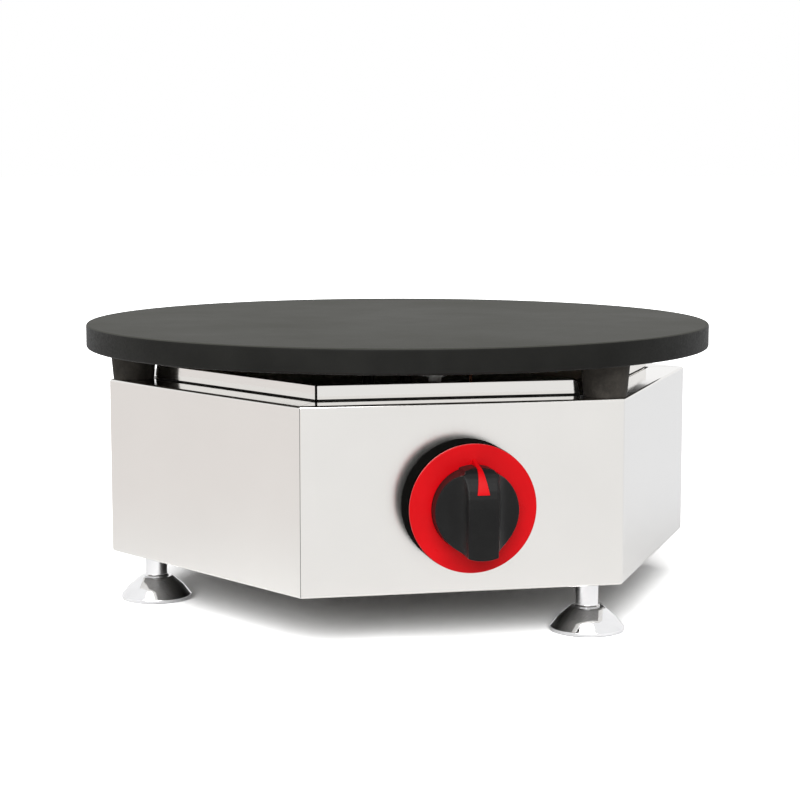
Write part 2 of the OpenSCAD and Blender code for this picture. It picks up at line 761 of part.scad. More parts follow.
module spindle() {
  inner_end = stat_front - spindle_depth;
  color("silver") on_front() {
    translate([0, 0, inner_end]) cylinder(d = spindle_d, h = hub_back - inner_end, $fn = 48);
    translate([0, 0, hub_back]) linear_extrude(spindle_end - hub_back)
      d_section(spindle_d, spindle_flat + 2 * run_fit);
  }
}

// -------------------------------------------------------------- thermostat

stat_front = -sheet_t - bracket_t;
stat_back_y = stat_front - stat_depth;

module thermostat_bracket() {
  color("silver") on_front() translate([0, 0, stat_front]) difference() {
    linear_extrude(bracket_t) rounded_square([30, bracket_h], 4);
    translate([0, 0, -eps]) cylinder(d = stat_bush_d + 2 * groove_fit, h = bracket_t + 1);
    for (s = [-1, 1]) translate([0, s * bezel_screw_r, -eps])
      cylinder(d = screw_d + 2 * run_fit, h = bracket_t + 1);
  }
}

module thermostat() {
  bush_l = bracket_t + sheet_t + 1;
  color([0.9, 0.88, 0.82]) on_front() difference() {
    union() {
      translate([0, 0, stat_back_y]) linear_extrude(stat_depth) rounded_square([stat_w, stat_h], 3);
      translate([0, 0, stat_front]) cylinder(d = stat_bush_d, h = bush_l);
      for (x = [-1, 1], y = [-1, 1]) translate([x * 12, y * 8, stat_back_y - 6])
        linear_extrude(7) square([6.3, 0.8], center = true);
    }
    translate([0, 0, stat_front - spindle_depth - gap])
      cylinder(d = spindle_d + 2 * run_fit, h = spindle_depth + bush_l + 1, $fn = 48);
  }
}

// Points given in the plan from the hexagon's centre, with height
stat_back = -apothem - stat_back_y;

module capillary() {
  color([0.72, 0.45, 0.3]) centred() bent_tube([
    [bulb_l / 2, 0, bulb_z], [capillary_drop.x, 0, bulb_z], concat(capillary_drop, capillary_z[0]),
    concat(capillary_way[0], capillary_z[1]), concat(capillary_way[1], capillary_z[2]),
    [capillary_way[1].x, stat_back, capillary_z[2]]], capillary_d, 5);
}

// Bimetal over-temperature switch under the pan's floor
module limiter() {
  color([0.15, 0.15, 0.15]) at_plan(limiter_pos, pan_z) mirror([0, 0, 1]) {
    linear_extrude(1) slot_2d(32, 9);
    cylinder(d = 17, h = 10);
    for (s = [-1, 1]) translate([s * 5, 0, 10]) linear_extrude(7) square([0.8, 6.3], center = true);
  }
}

// -------------------------------------------------------------- connections

function pole_x(i) = block_pos.x + (i - (block_poles - 1) / 2) * 11;
block_z = housing_z;
wire_z = block_z + 9;
clamp_z = wire_z + lead_d / 2 + groove_fit;

module terminal_block() {
  well_d = 7;
  color("ivory") difference() {
    at_plan(block_pos, block_z) linear_extrude(block_size.z)
      rounded_square([block_size.x, block_size.y], 3);
    for (i = [0 : block_poles - 1]) at_plan([pole_x(i), block_pos.y], 0) {
      translate([0, 0, clamp_z]) cylinder(d = well_d, h = block_size.z);
      translate([0, -block_size.y, wire_z]) rotate([-90, 0, 0])
        cylinder(d = lead_d + 0.6, h = 2 * block_size.y);
    }
    for (s = [-1, 1]) at_plan([block_pos.x + s * (block_size.x / 2 - 5), block_pos.y], block_z - 1)
      cylinder(d = screw_d + 0.2, h = block_size.z + 2);
  }
}

// Brass clamp screws in the wells, and the two screws that hold the block
module terminal_screws() {
  color("goldenrod") {
    for (i = [0 : block_poles - 1]) at_plan([pole_x(i), block_pos.y], clamp_z)
      cylinder(d = 6.8, h = 5, $fn = 48);
    for (s = [-1, 1]) at_plan([block_pos.x + s * (block_size.x / 2 - 5), block_pos.y],
        block_z + block_size.z) pan_screw(screw_d, block_size.z + base_t);
  }
}

// Lead from a pole of the block to the pin of a heating loop
module pole_lead(i, r) {
  p = loop_drop(r, -1);
  pin_z = tube_end_z - pin_l;
  out = sign(p.y - block_pos.y);
  face = block_pos.y + out * block_size.y / 2;
  bent_tube([[pole_x(i), face - 4 * out, wire_z], [pole_x(i), face + 14 * out, wire_z],
    [p.x, p.y - 6, pin_z - 26], [p.x, p.y, pin_z - 8], [p.x, p.y, pin_z]], lead_d, lead_bend);
}

module element_leads() {
  color("firebrick") centred() {
    pole_lead(2, inner_loop_r);
    pole_lead(1, outer_loop_r);
  }
}

// Leads from the block and the other loop ends to the thermostat's tabs
module thermostat_leads() {
  tab_y = stat_back + 6;
  clear_y = tab_y + 24;
  front = block_pos.y - block_size.y / 2;
  color("peru") centred() {
    bent_tube([[-12, tab_y, knob_z + 8], [-12, clear_y, knob_z + 8],
      [pole_x(0), 20, wire_z + 14], [pole_x(0), front - 18, wire_z],
      [pole_x(0), front + 4, wire_z]], lead_d, lead_bend);
    for (k = [0, 1]) {
      p = loop_drop(LOOPS[1 - k], 1);
      tab_z = knob_z + 8 - 16 * k;
      bent_tube([[12, tab_y, tab_z], [12, clear_y - 4, tab_z], [p.x + 12 * k, p.y - 40, 66 - 8 * k],
        [p.x, p.y, 74], [p.x, p.y, tube_end_z - pin_l]], lead_d, lead_bend);
    }
  }
}

module earth_stud() {
  color("goldenrod") at_plan([earth_pos.x, apothem - sheet_t], earth_pos.y)
    rotate([90, 0, 0]) cylinder(d = 5, h = 16, $fn = 48);
}

module earth_nut() {
  color("goldenrod") at_plan([earth_pos.x, apothem - sheet_t - 4], earth_pos.y)
    rotate([90, 0, 0]) difference() {
      hex_head(8, 4);
      translate([0, 0, -eps]) cylinder(d = 5 + 2 * run_fit, h = 5, $fn = 48);
    }
}

// Earth lead from the block to an eye on the stud
module earth_lead() {
  eye_y = apothem - sheet_t - 4 + eps;
  color("yellowgreen") {
    at_plan([earth_pos.x, eye_y], earth_pos.y) rotate([-90, 0, 0]) ring(5, 2.5 + run_fit, 1.5);
    centred() bent_tube([[pole_x(3), block_pos.y + block_size.y / 2 - 4, wire_z],
      [pole_x(3), block_pos.y + 32, wire_z], [earth_pos.x - 10, apothem - 32, wire_z + 4],
      [earth_pos.x, eye_y + 0.75, wire_z + 12], [earth_pos.x, eye_y + 0.75, earth_pos.y - 4]],
      lead_d / 2, lead_bend);
  }
}

// ------------------------------------------------------------- cable gland

module gland_body() {
  bore_in = cable_d + 4;
  color([0.1, 0.1, 0.1]) on_rear() difference() {
    union() {
      translate([0, 0, -12]) cylinder(d = gland_thread_d, h = 12 + eps);
      hex_head(24, gland_flange_t);
      cylinder(d = gland_thread_d, h = gland_flange_t + 8);
    }
    translate([0, 0, -13]) cylinder(d = bore_in, h = 30);
    translate([0, 0, 2]) cylinder(d = seal_d + 2 * groove_fit, h = 30);
  }
}

module gland_seal() {
  color([0.2, 0.2, 0.2]) on_rear() translate([0, 0, 2 + groove_fit]) ring(seal_d / 2, cable_d / 2, seal_l);
}

// Dome nut that squeezes the seal on the cable
module gland_cap() {
  z0 = gland_flange_t + 1;
  wall_r = gland_thread_d / 2 + run_fit;
  mouth_r = cable_d / 2 + 1;
  color([0.1, 0.1, 0.1]) on_rear() difference() {
    union() {
      translate([0, 0, z0]) hex_head(25, 9);
      translate([0, 0, z0 + 9]) rotate_extrude() polygon(concat(
        [[0, 0], [12, 0]], arc([12 - 7, gland_reach - z0 - 9 - 7], 7, 0, 90), [[0, gland_reach - z0 - 9]]));
    }
    translate([0, 0, z0 - eps]) cylinder(r = wall_r, h = 8 + eps);
    translate([0, 0, z0]) cylinder(d = seal_d + 2 * groove_fit, h = seal_l + 2.2 + groove_fit - z0);
    cylinder(r = mouth_r, h = gland_reach + 1);
  }
}

module gland_locknut() {
  color([0.1, 0.1, 0.1]) on_rear() translate([0, 0, -sheet_t - 5]) difference() {
    hex_head(25, 5);
    translate([0, 0, -eps]) cylinder(d = gland_thread_d + 2 * run_fit, h = 5 + 2 * eps);
  }
}

// -------------------------------------------------------------------- feet

// Outside of the cup from its rim up, as points [radius, height]
cup_rim_r = cup_d / 2;
cup_outside = concat(
  arc([cup_rim_r - 1, cup_floor + 1], 1, -90, 90),
  [[cup_rim_r - 2, cup_floor + 2.4]],
  arc([cup_top_d / 2 - 1.5, cup_h - 1.5], 1.5, 40, 90));

module foot_cup(a) {
  hole_r = rivet_d / 2 + run_fit;
  inner_top = cup_h - cup_wall;
  color([0.8, 0.8, 0.82]) at_plan(corner_at(foot_inset, a)) rotate_extrude()
    polygon(concat(
      [[cup_rim_r - 3.6, cup_floor]], cup_outside,
      [[hole_r, cup_h], [hole_r, inner_top], [cup_top_d / 2 - 1.8, inner_top]]));
}

// Rubber ring in the mouth of the cup
module foot_pad(a) {
  pad_r = cup_rim_r - 3.7;
  color([0.1, 0.1, 0.1]) at_plan(corner_at(foot_inset, a)) rotate_extrude()
    polygon([[pad_r - 8, 0], [pad_r - 0.6, 0], [pad_r, cup_floor], [pad_r - 1.2, 2], [pad_r - 8, 2]]);
}

// Smooth stem with the levelling thread above and a riveted end in the cup
module foot_stem(a) {
  low = cup_h + stem_gap;
  head_z = cup_h - cup_wall - stem_gap;
  color([0.82, 0.82, 0.84]) at_plan(corner_at(foot_inset, a)) rotate_extrude() polygon(concat(
    [[0, head_z - 2], [rivet_d / 2 + 1.5, head_z - 2], [rivet_d / 2 + 1.5, head_z],
     [rivet_d / 2, head_z], [rivet_d / 2, low], [stem_d / 2 + 1, low]],
    arc([stem_d / 2 + 1, low + 1], 1, 270, 180),
    [[stem_d / 2, shoulder_z - 0.6], [stem_d / 2 - 0.6, shoulder_z], [thread_d / 2, shoulder_z],
     [thread_d / 2, thread_top_z - 1], [thread_d / 2 - 1, thread_top_z], [0, thread_top_z]]));
}

module foot_cup_left() foot_cup(LEFT);
module foot_pad_left() foot_pad(LEFT);
module foot_stem_left() foot_stem(LEFT);
module foot_cup_right() foot_cup(RIGHT);
module foot_pad_right() foot_pad(RIGHT);
module foot_stem_right() foot_stem(RIGHT);
module foot_cup_rear() foot_cup(REAR);
module foot_pad_rear() foot_pad(REAR);
module foot_stem_rear() foot_stem(REAR);

// ------------------------------------------------------------------- nodes

griddle_plate();
outer_element();
inner_element();
element_clamps();
clamp_studs();
clamp_nuts();
sensing_bulb();
bulb_clip();
clip_screws();
leg_bolts();
reflector_pan();
pan_rivets();
insulation_pad();
element_bushings();
housing();
corner_gussets();
foot_bosses();
base_plate();
base_screws();
knob_bezel();
bezel_screws();
thermostat();
thermostat_bracket();
capillary();
limiter();
terminal_block();
terminal_screws();
element_leads();
thermostat_leads();
earth_stud();
earth_nut();
earth_lead();
gland_body();
gland_seal();
gland_cap();
gland_locknut();
knob_body();
knob_skirt();
knob_pointer();
spindle();
foot_cup_left();
foot_pad_left();
foot_stem_left();
foot_cup_right();
foot_pad_right();
foot_stem_right();
foot_cup_rear();
foot_pad_rear();
foot_stem_rear();
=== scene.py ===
"""Electric crepe maker: the visible pieces, their finishes and a plain studio around the packed model.

Every piece is modelled in metres in the model's own frame: +Z up, the knob facing -Y and the feet on z = 0.
"""

import json
from contextlib import contextmanager
from math import asin, atan2, cos, pi, radians, sin, tan, tau

import bmesh
import bpy
from bpy.props import FloatProperty, FloatVectorProperty, PointerProperty
from mathutils import Matrix, Vector


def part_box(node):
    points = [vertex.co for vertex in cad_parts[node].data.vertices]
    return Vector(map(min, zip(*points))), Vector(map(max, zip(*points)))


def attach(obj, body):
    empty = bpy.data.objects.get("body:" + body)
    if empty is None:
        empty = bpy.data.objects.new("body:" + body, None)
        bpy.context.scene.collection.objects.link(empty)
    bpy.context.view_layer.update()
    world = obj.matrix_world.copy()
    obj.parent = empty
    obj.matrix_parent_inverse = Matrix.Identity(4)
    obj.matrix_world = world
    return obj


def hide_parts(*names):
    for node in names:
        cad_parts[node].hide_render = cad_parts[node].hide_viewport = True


bl_info = {
    "name": "Crepe maker dresser",
    "version": (1, 0, 0),
    "blender": (4, 5, 0),
    "location": "3D View > Sidebar > Crepe maker",
    "description": "Models the crepe maker's visible pieces around its fixed frame and sets up a studio",
    "category": "Object",
}

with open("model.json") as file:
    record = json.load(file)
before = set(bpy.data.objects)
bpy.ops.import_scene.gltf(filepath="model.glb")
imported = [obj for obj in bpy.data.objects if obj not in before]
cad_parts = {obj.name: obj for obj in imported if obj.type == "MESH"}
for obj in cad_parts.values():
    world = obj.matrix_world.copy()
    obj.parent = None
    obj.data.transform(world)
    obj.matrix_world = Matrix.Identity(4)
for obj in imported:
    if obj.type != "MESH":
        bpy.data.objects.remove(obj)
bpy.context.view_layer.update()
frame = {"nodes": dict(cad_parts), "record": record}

MM = 0.001
TINY = 1e-6
SPARE = 1 * MM  # How far a cutter, or a piece that is joined on, reaches beyond the face that it meets
UP = Vector((0, 0, 1))
COS_30 = cos(radians(30))
TAN_30 = tan(radians(30))


def plan_centre(node):
    """Centre of a node's box, on the ground."""
    low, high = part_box(node)
    return Vector(((low.x + high.x) / 2, (low.y + high.y) / 2, 0))


PLATE_LOW, PLATE_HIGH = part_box("griddle_plate")
HOUSING_LOW, HOUSING_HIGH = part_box("housing")
PAN_LOW, PAN_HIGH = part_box("reflector_pan")
BEZEL_LOW, BEZEL_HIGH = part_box("knob_bezel")
SKIRT_LOW, SKIRT_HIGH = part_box("knob_skirt")
CENTRE, PLATE_CENTRE = plan_centre("housing"), plan_centre("griddle_plate")
APOTHEM = (HOUSING_HIGH.y - HOUSING_LOW.y) / 2
CORNER = APOTHEM / COS_30
SEAM_TURNS = [radians(a) for a in (0, 120, 240)]
LEG_TURNS = [radians(a) for a in (180, 300, 60)]
SIDES = ("left", "right", "rear")
# Stands a flat drawing up: its X points along +Y and its Y along +Z, and its depth along +X
STANDING = Matrix(((0, 0, 1, 0), (1, 0, 0, 0), (0, 1, 0, 0), (0, 0, 0, 1)))


# ---- settings

def mm(name, description, value):
    """A length in millimetres that can be changed in the sidebar."""
    return FloatProperty(name=name, description=description, default=value * MM, min=0, unit="LENGTH",
                         precision=4)


def number(name, description, value, **kinds):
    """Any other number that can be changed in the sidebar."""
    return FloatProperty(name=name, description=description, default=value, **kinds)


def colour(name, description, value):
    """A linear colour that can be changed in the sidebar."""
    return FloatVectorProperty(name=name, description=description, default=value, min=0, max=1,
                               subtype="COLOR")


class PlateSizes(bpy.types.PropertyGroup):
    """Sizes of the cast griddle plate and its legs."""
    radius: mm("Radius", "Radius of the cooking surface", (PLATE_HIGH.x - PLATE_LOW.x) / 2 / MM)
    thickness: mm("Thickness", "Thickness of the casting at its rim", 15)
    edge: mm("Edge", "Rounding of the rim's two edges", 1.5)
    recess: mm("Recess", "Depth of the recess underneath", 3)
    recess_radius: mm("Recess radius", "Radius of that recess", 146)
    leg_foot: mm("Leg foot", "Radius of a leg on the housing", 12.75)
    leg_top: mm("Leg top", "Radius of a leg under the plate", 14.5)
    leg_inset: mm("Leg inset", "Distance of a leg's axis from the housing's corner", 15.5)
    fillet: mm("Fillet", "Rounding between a leg and the plate", 2)
    bolt: mm("Bolt", "Radius of the bore for a leg's bolt", 4.05)


class HeatingSizes(bpy.types.PropertyGroup):
    """Sizes of the two sheathed heating tubes."""
    radius: mm("Tube radius", "Radius of the sheath", 4)
    outer: mm("Outer loop", "Radius of the outer loop", 116)
    inner: mm("Inner loop", "Radius of the inner loop", 60)
    gap: mm("Gap", "Distance between the two ends of a loop", 46)
    bend: mm("Bend", "Bend radius where a loop turns down", 11)
    play: mm("Play", "Play of a tube in its groove", 0.2)
    pin: mm("Pin", "Radius of a terminal pin", 2)
    pin_length: mm("Pin length", "Length of a terminal pin", 12)


class HousingSizes(bpy.types.PropertyGroup):
    """Sizes of the bent stainless housing."""
    sheet: mm("Sheet", "Thickness of the sheet", 1.2)
    corner: mm("Corner", "Outside radius of the upright corners", 2)
    bend: mm("Bend", "Outside radius of the bends along the top and bottom", 1.6)
    flange: mm("Flange", "Width of the flange around the top", 22.4)
    lip: mm("Lip", "Depth of the turned-down lip", 12)
    turn_in: mm("Turn-in", "Width of the turned-in lower edge", 14)
    mitre: mm("Mitre", "Width of the joints in the flange and down the corners", 0.3)
    joint: mm("Joint", "Depth of the joints down the corners", 0.35)
    bolt_hole: mm("Bolt hole", "Radius of the holes for the legs' bolts", 4.4)
    spindle_hole: mm("Spindle hole", "Radius of the hole for the thermostat's spindle", 6)
    gland_hole: mm("Gland hole", "Radius of the hole for the cable gland", 10.4)


class PanSizes(bpy.types.PropertyGroup):
    """Sizes of the reflector pan and its collar."""
    sheet: mm("Sheet", "Thickness of the sheet", 1)
    play: mm("Play", "Play between the pan and the housing's lip", 0.4)
    corner: mm("Corner", "Outside radius of the upright corners", 1.5)
    bend: mm("Bend", "Outside radius of the bend around the floor", 1.4)
    end: mm("Collar end", "Distance that the collar stops short of a leg's corner", 9)
    slant: mm("Slant", "How much nearer the corner the collar's foot reaches", 2.3)
    end_round: mm("End rounding", "Rounding of the collar's free ends", 2.5)
    seam: mm("Seam", "Width of the slits where collar strips meet", 1.5)
    slit: mm("Slit depth", "Depth of those slits below the flange", 5)
    bush: mm("Bush hole", "Radius of the holes for the heating tubes' bushes", 6.7)
    groove: mm("Groove", "Height of the groove where the collar meets the flange", 0.9)
    groove_depth: mm("Groove depth", "Depth of that groove", 0.5)


class KnobSizes(bpy.types.PropertyGroup):
    """Sizes of the knob and its fixed bezel."""
    wall: mm("Bezel wall", "Wall of the bezel", 2.4)
    floor: mm("Bezel floor", "Floor of the bezel", 2.5)
    hub: mm("Hub", "Radius of the knob's hub", 9)
    hub_gap: mm("Hub gap", "Width of the gap between the hub and the bezel's floor", 3)
    boss: mm("Boss", "Radius of the boss inside the ring", 24.25)
    boss_height: mm("Boss height", "Height of the boss's edge above the ring", 9.5)
    grip_height: mm("Grip height", "Height of the grip bar above the ring", 24.5)
    grip_width: mm("Grip width", "Width of the grip bar", 17.4)
    grip_reach: mm("Grip reach", "Radius to the ends of the grip bar", 25.4)
    slope_start: mm("Slope start", "Distance from the knob's axis at which the grip's slope starts", 4)
    softness: mm("Softness", "Grid on which the moulded edges are softened", 0.34)
    pointer_width: mm("Pointer width", "Width of the pointer at its wide end", 7.2)
    pointer_tip: mm("Pointer tip", "Radius to the tip of the pointer", 28)
    pointer_base: mm("Pointer base", "Radius to the wide end of the pointer", 11.5)
    pointer_proud: mm("Pointer proud", "How far the pointer stands out of the grip", 0.5)
    pointer_sink: mm("Pointer sink", "How deep the pointer is let into the grip", 1.2)
    pointer_end: mm("Pointer end", "Half the width of the pointer's tip", 0.8)
    pocket_play: mm("Pocket play", "Play of the pointer in its pocket", 0.05)
    spindle: mm("Spindle", "Radius of the spindle's bore", 3.05)


class FootSizes(bpy.types.PropertyGroup):
    """Sizes of the three levelling feet."""
    rim: mm("Rim", "Radius of the cup's rim", 22.4)
    height: mm("Height", "Height of the cup", 14.5)
    top: mm("Top", "Radius of the flat top of the cup", 10.5)
    wall: mm("Wall", "Wall of the pressed cup", 1.2)
    lift: mm("Lift", "Height of the rim above the ground", 0.6)
    bell: mm("Bell", "Rounding of the cup's bell-shaped side", 14)
    stem: mm("Stem", "Radius of the smooth stem", 6.75)
    thread: mm("Thread", "Outside radius of the levelling thread", 6)
    pitch: mm("Pitch", "Pitch of that thread", 1.75)
    thread_depth: mm("Thread depth", "Depth of that thread", 0.95)
    rivet: mm("Rivet", "Radius of the riveted end in the cup", 4)
    play: mm("Play", "Play between the stem and the cup", 0.1)


class GlandSizes(bpy.types.PropertyGroup):
    """Sizes of the cable gland on the rear panel."""
    thread: mm("Thread", "Radius of the gland's thread", 10)
    seal: mm("Seal", "Radius of the bore that holds the seal", 7.7)
    body_flats: mm("Body flats", "Width across the body's flats", 24)
    cap_flats: mm("Cap flats", "Width across the cap's flats", 25)
    flange: mm("Flange", "Thickness of the body's hexagon", 5)
    cap_hexagon: mm("Cap hexagon", "Height of the cap's hexagon", 9)
    dome: mm("Dome", "Radius of the cap's dome", 12)
    mouth: mm("Mouth", "Radius of the cap's mouth", 5.5)
    hole: mm("Hole", "Radius of the hole through the body", 6.5)


class Finishes(bpy.types.PropertyGroup):
    """Colours of the finishes."""
    iron: colour("Griddle iron", "Seasoned cooking surface", (0.048, 0.048, 0.042))
    iron_side: colour("Rim iron", "Turned rim of the plate", (0.012, 0.012, 0.011))
    iron_cast: colour("Cast iron", "Legs and underside as cast", (0.040, 0.036, 0.031))
    steel: colour("Stainless steel", "Polished and brushed stainless steel", (0.81, 0.795, 0.77))
    heated: colour("Heated steel", "Heated steel inside the pan", (0.50, 0.43, 0.35))
    # Darker than the rolled sheet itself: partly painted shade under the body, which the feet reflect
    rolled: colour("Rolled steel", "Rolled steel of the base plate", (0.27, 0.265, 0.255))
    zinc: colour("Plated steel", "Zinc-plated small parts", (0.62, 0.62, 0.60))
    chrome: colour("Chrome", "Plated feet", (0.86, 0.86, 0.87))
    red: colour("Red", "Skirt ring and pointer", (0.56, 0.002, 0.005))
    black: colour("Knob black", "Moulded knob", (0.009, 0.009, 0.009))
    bezel: colour("Bezel black", "Bezel and small black mouldings", (0.0025, 0.0025, 0.0022))


class StudioSettings(bpy.types.PropertyGroup):
    """Camera and light."""
    azimuth: number("Azimuth", "Camera's angle round the object, 0 looks along +Y", radians(-11.76),
                    subtype="ANGLE")
    elevation: number("Elevation", "Camera's angle above the horizon", radians(6.895), subtype="ANGLE")
    distance: mm("Distance", "Camera's distance from what it looks at", 1300)
    target: FloatVectorProperty(name="Target", description="Point that the camera looks at",
                                default=(0.00163, 0.0062, 0.12387), subtype="TRANSLATION")
    lens: number("Lens", "Focal length on a 36 mm sensor", 89.616, unit="CAMERA")
    sun: number("Key light", "Strength of the soft key light", 3.85, min=0)
    ambient: number("Ambient", "Strength of the light from all round", 0.14, min=0)


SETTINGS = {"crepe_plate": PlateSizes, "crepe_heating": HeatingSizes, "crepe_housing": HousingSizes,
            "crepe_pan": PanSizes, "crepe_knob": KnobSizes, "crepe_feet": FootSizes,
            "crepe_gland": GlandSizes, "crepe_finishes": Finishes, "crepe_studio": StudioSettings}


# ---- modelling aids

def only(piece):
    """Selects one piece and makes it active."""
    bpy.ops.object.select_all(action="DESELECT")
    piece.select_set(True)
    bpy.context.view_layer.objects.active = piece


def named(name):
    """Names the primitive that was just added and moves its place into its mesh."""
    piece = bpy.context.active_object
    piece.name = piece.data.name = name
    only(piece)
    bpy.ops.object.transform_apply(location=True, rotation=True, scale=True)
    return piece


@contextmanager
def editing(piece, kind="EDGE", test=None):
    """Edit mode on one piece, with the parts that pass the test selected, or with all of it."""
    only(piece)
    bpy.ops.object.mode_set(mode="EDIT")
    bpy.ops.mesh.select_mode(type=kind)
    bpy.ops.mesh.select_all(action="SELECT")
    if test:
        bpy.ops.mesh.select_all(action="DESELECT")
        shape = bmesh.from_edit_mesh(piece.data)
        parts = {"VERT": shape.verts, "EDGE": shape.edges, "FACE": shape.faces}[kind]
        for part in [p for p in parts if test(p)]:
            part.select_set(True)
        bmesh.update_edit_mesh(piece.data)
    yield
    bpy.ops.object.mode_set(mode="OBJECT")


def middle(edge):
    return (edge.verts[0].co + edge.verts[1].co) / 2


def shaped(piece, kind, **values):
    """Adds one modifier, sets it and applies it."""
    only(piece)
    modifier = piece.modifiers.new(kind.title(), kind)
    for key, value in values.items():
        setattr(modifier, key, value)
    bpy.ops.object.modifier_apply(modifier=modifier.name)


def combined(piece, other, operation):
    """Cuts the other piece away, adds it or keeps what both share, and then removes it."""
    shaped(piece, "BOOLEAN", operation=operation, solver="EXACT", object=other)
    only(other)
    bpy.ops.object.delete()
    return piece


def cut(piece, *cutters):
    for cutter in cutters:
        combined(piece, cutter, "DIFFERENCE")


def smoothed(piece, angle=35, weighted=True):
    """Smooth shading that keeps flats flat and edges above the angle sharp."""
    only(piece)
    bpy.ops.object.shade_smooth_by_angle(angle=radians(angle))
    if weighted:
        shaped(piece, "WEIGHTED_NORMAL", keep_sharp=True, weight=100)
    return piece


def placed(piece, matrix):
    """Sets a piece in its place and moves the place into its mesh."""
    piece.matrix_world = matrix
    only(piece)
    bpy.ops.object.transform_apply(location=True, rotation=True, scale=True)
    return piece


def arc(centre, radius, start, end, steps=5):
    """Points of an arc about a centre, angles in degrees."""
    turns = [radians(start + (end - start) * i / steps) for i in range(steps + 1)]
    return [(centre[0] + radius * cos(t), centre[1] + radius * sin(t)) for t in turns]


def filleted(corners, closed=True, steps=4):
    """Outline of plane points in which a corner with a third number is rounded to that radius."""
    outline = []
    count = len(corners)
    for i, corner in enumerate(corners):
        here = Vector(corner[:2])
        radius = corner[2] if len(corner) > 2 else 0
        if not radius or (not closed and i in (0, count - 1)):
            outline.append(here)
            continue
        before = (Vector(corners[i - 1][:2]) - here).normalized()
        after = (Vector(corners[(i + 1) % count][:2]) - here).normalized()
        half = before.angle(after) / 2
        centre = here + (before + after).normalized() * radius / sin(half)
        first = (here + before * radius / tan(half) - centre).normalized()
        last = (here + after * radius / tan(half) - centre).normalized()
        outline += [centre + first.slerp(last, k / steps) * radius for k in range(steps + 1)]
    return outline


def face_out():
    """Turns every face of the piece that is being edited outwards."""
    bpy.ops.mesh.select_all(action="SELECT")
    bpy.ops.mesh.normals_make_consistent(inside=False)


def pulled(way):
    """Pulls the selected edges or faces out along a vector."""
    bpy.ops.mesh.extrude_region_move(TRANSFORM_OT_translate={"value": way})


def drawn(name, points):
    """A chain of vertices drawn from one point to the next, left in edit mode."""
    bpy.ops.mesh.primitive_plane_add(size=MM)
    piece = named(name)
    bpy.ops.object.mode_set(mode="EDIT")
    bpy.ops.mesh.select_mode(type="VERT")
    bpy.ops.mesh.select_all(action="SELECT")
    bpy.ops.mesh.merge(type="CENTER")
    bpy.ops.transform.translate(value=points[0])
    for start, end in zip(points, points[1:]):
        bpy.ops.mesh.extrude_vertices_move(TRANSFORM_OT_translate={"value": end - start})
    return piece


def turned(name, outline, steps=96, closed=True):
    """Lathe work: an outline of (radius, height) points spun about the Z axis."""
    points = [Vector((p[0], 0, p[1])) for p in outline]
    if closed:
        points.append(points[0])
    piece = drawn(name, points)
    bpy.ops.mesh.select_all(action="SELECT")
    bpy.ops.mesh.spin(steps=steps, angle=tau, center=(0, 0, 0), axis=(0, 0, 1))
    bpy.ops.mesh.select_all(action="SELECT")
    bpy.ops.mesh.remove_doubles(threshold=TINY)
    face_out()
    bpy.ops.object.mode_set(mode="OBJECT")
    return piece


def extruded(name, outline, depth):
    """A plane outline pulled out along +Z."""
    piece = drawn(name, [Vector((p[0], p[1], 0)) for p in outline])
    bpy.ops.mesh.select_all(action="SELECT")
    bpy.ops.mesh.edge_face_add()
    pulled(UP * depth)
    face_out()
    bpy.ops.object.mode_set(mode="OBJECT")
    return piece


def rod(name, radius, low, high, vertices=64, matrix=Matrix()):
    """A round or polygonal rod along Z between two heights."""
    bpy.ops.mesh.primitive_cylinder_add(vertices=vertices, radius=radius, depth=high - low,
                                        location=(0, 0, (low + high) / 2))
    return placed(named(name), matrix)


def block(name, low, high, matrix):
    """A rectangular block between two corners."""
    low, high = Vector(low), Vector(high)
    bpy.ops.mesh.primitive_cube_add(size=1, location=(low + high) / 2, scale=high - low)
    return placed(named(name), matrix)


def copied(piece, name, matrix):
    """A copy with its own mesh, set in another place."""
    only(piece)
    bpy.ops.object.duplicate(linked=False)
    other = bpy.context.active_object
    other.name = other.data.name = name
    return placed(other, matrix)


def hexagon(name, apothem, low, high, cap):
    """The six upright faces of a hexagonal box about the housing's centre."""
    bpy.ops.mesh.primitive_cylinder_add(vertices=6, radius=apothem / COS_30, depth=high - low,
                                        end_fill_type=cap, rotation=(0, 0, pi / 6),
                                        location=CENTRE + UP * (low + high) / 2)
    return named(name)


def thickened(piece, sheet):
    """Gives bent sheet its thickness, inwards."""
    shaped(piece, "SOLIDIFY", thickness=sheet, offset=-1, use_even_offset=True, use_quality_normals=True)


def bevelled(piece, test, offset, segments=4):
    """Rounds the edges that pass the test."""
    with editing(piece, "EDGE", test):
        bpy.ops.mesh.bevel(offset=offset, segments=segments, affect="EDGES")


def upright(edge):
    return abs(edge.verts[0].co.z - edge.verts[1].co.z) > MM


def folded(edge):
    return edge.calc_face_angle(0) > 1


def turned_to(turn, radius=0, height=0):
    """Place at a direction of the plan, turned to face it."""
    facing = Matrix.Translation(CENTRE) @ Matrix.Rotation(turn, 4, "Z")
    return facing @ Matrix.Translation((radius, 0, height))


def on_front(depth=0):
    """Place on the front panel at the knob's axis, with +Z outwards and +Y up."""
    height = (BEZEL_LOW.z + BEZEL_HIGH.z) / 2
    return Matrix.Translation((CENTRE.x, HOUSING_LOW.y, height)) @ Matrix.Rotation(pi / 2, 4, "X") \
        @ Matrix.Translation((0, 0, depth))


def on_rear():
    """Place on the rear panel at the gland's axis, with +Z outwards."""
    low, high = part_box("gland_cap")
    axis = Matrix.Translation((CENTRE.x, HOUSING_HIGH.y, (low.z + high.z) / 2))
    return axis @ Matrix.Rotation(-pi / 2, 4, "X")


def painted(piece, names, choose):
    """Gives a piece several finishes, and each face the one that it is chosen for."""
    for name in names:
        piece.data.materials.append(FINISH[name])
    for face in piece.data.polygons:
        face.material_index = choose(face)


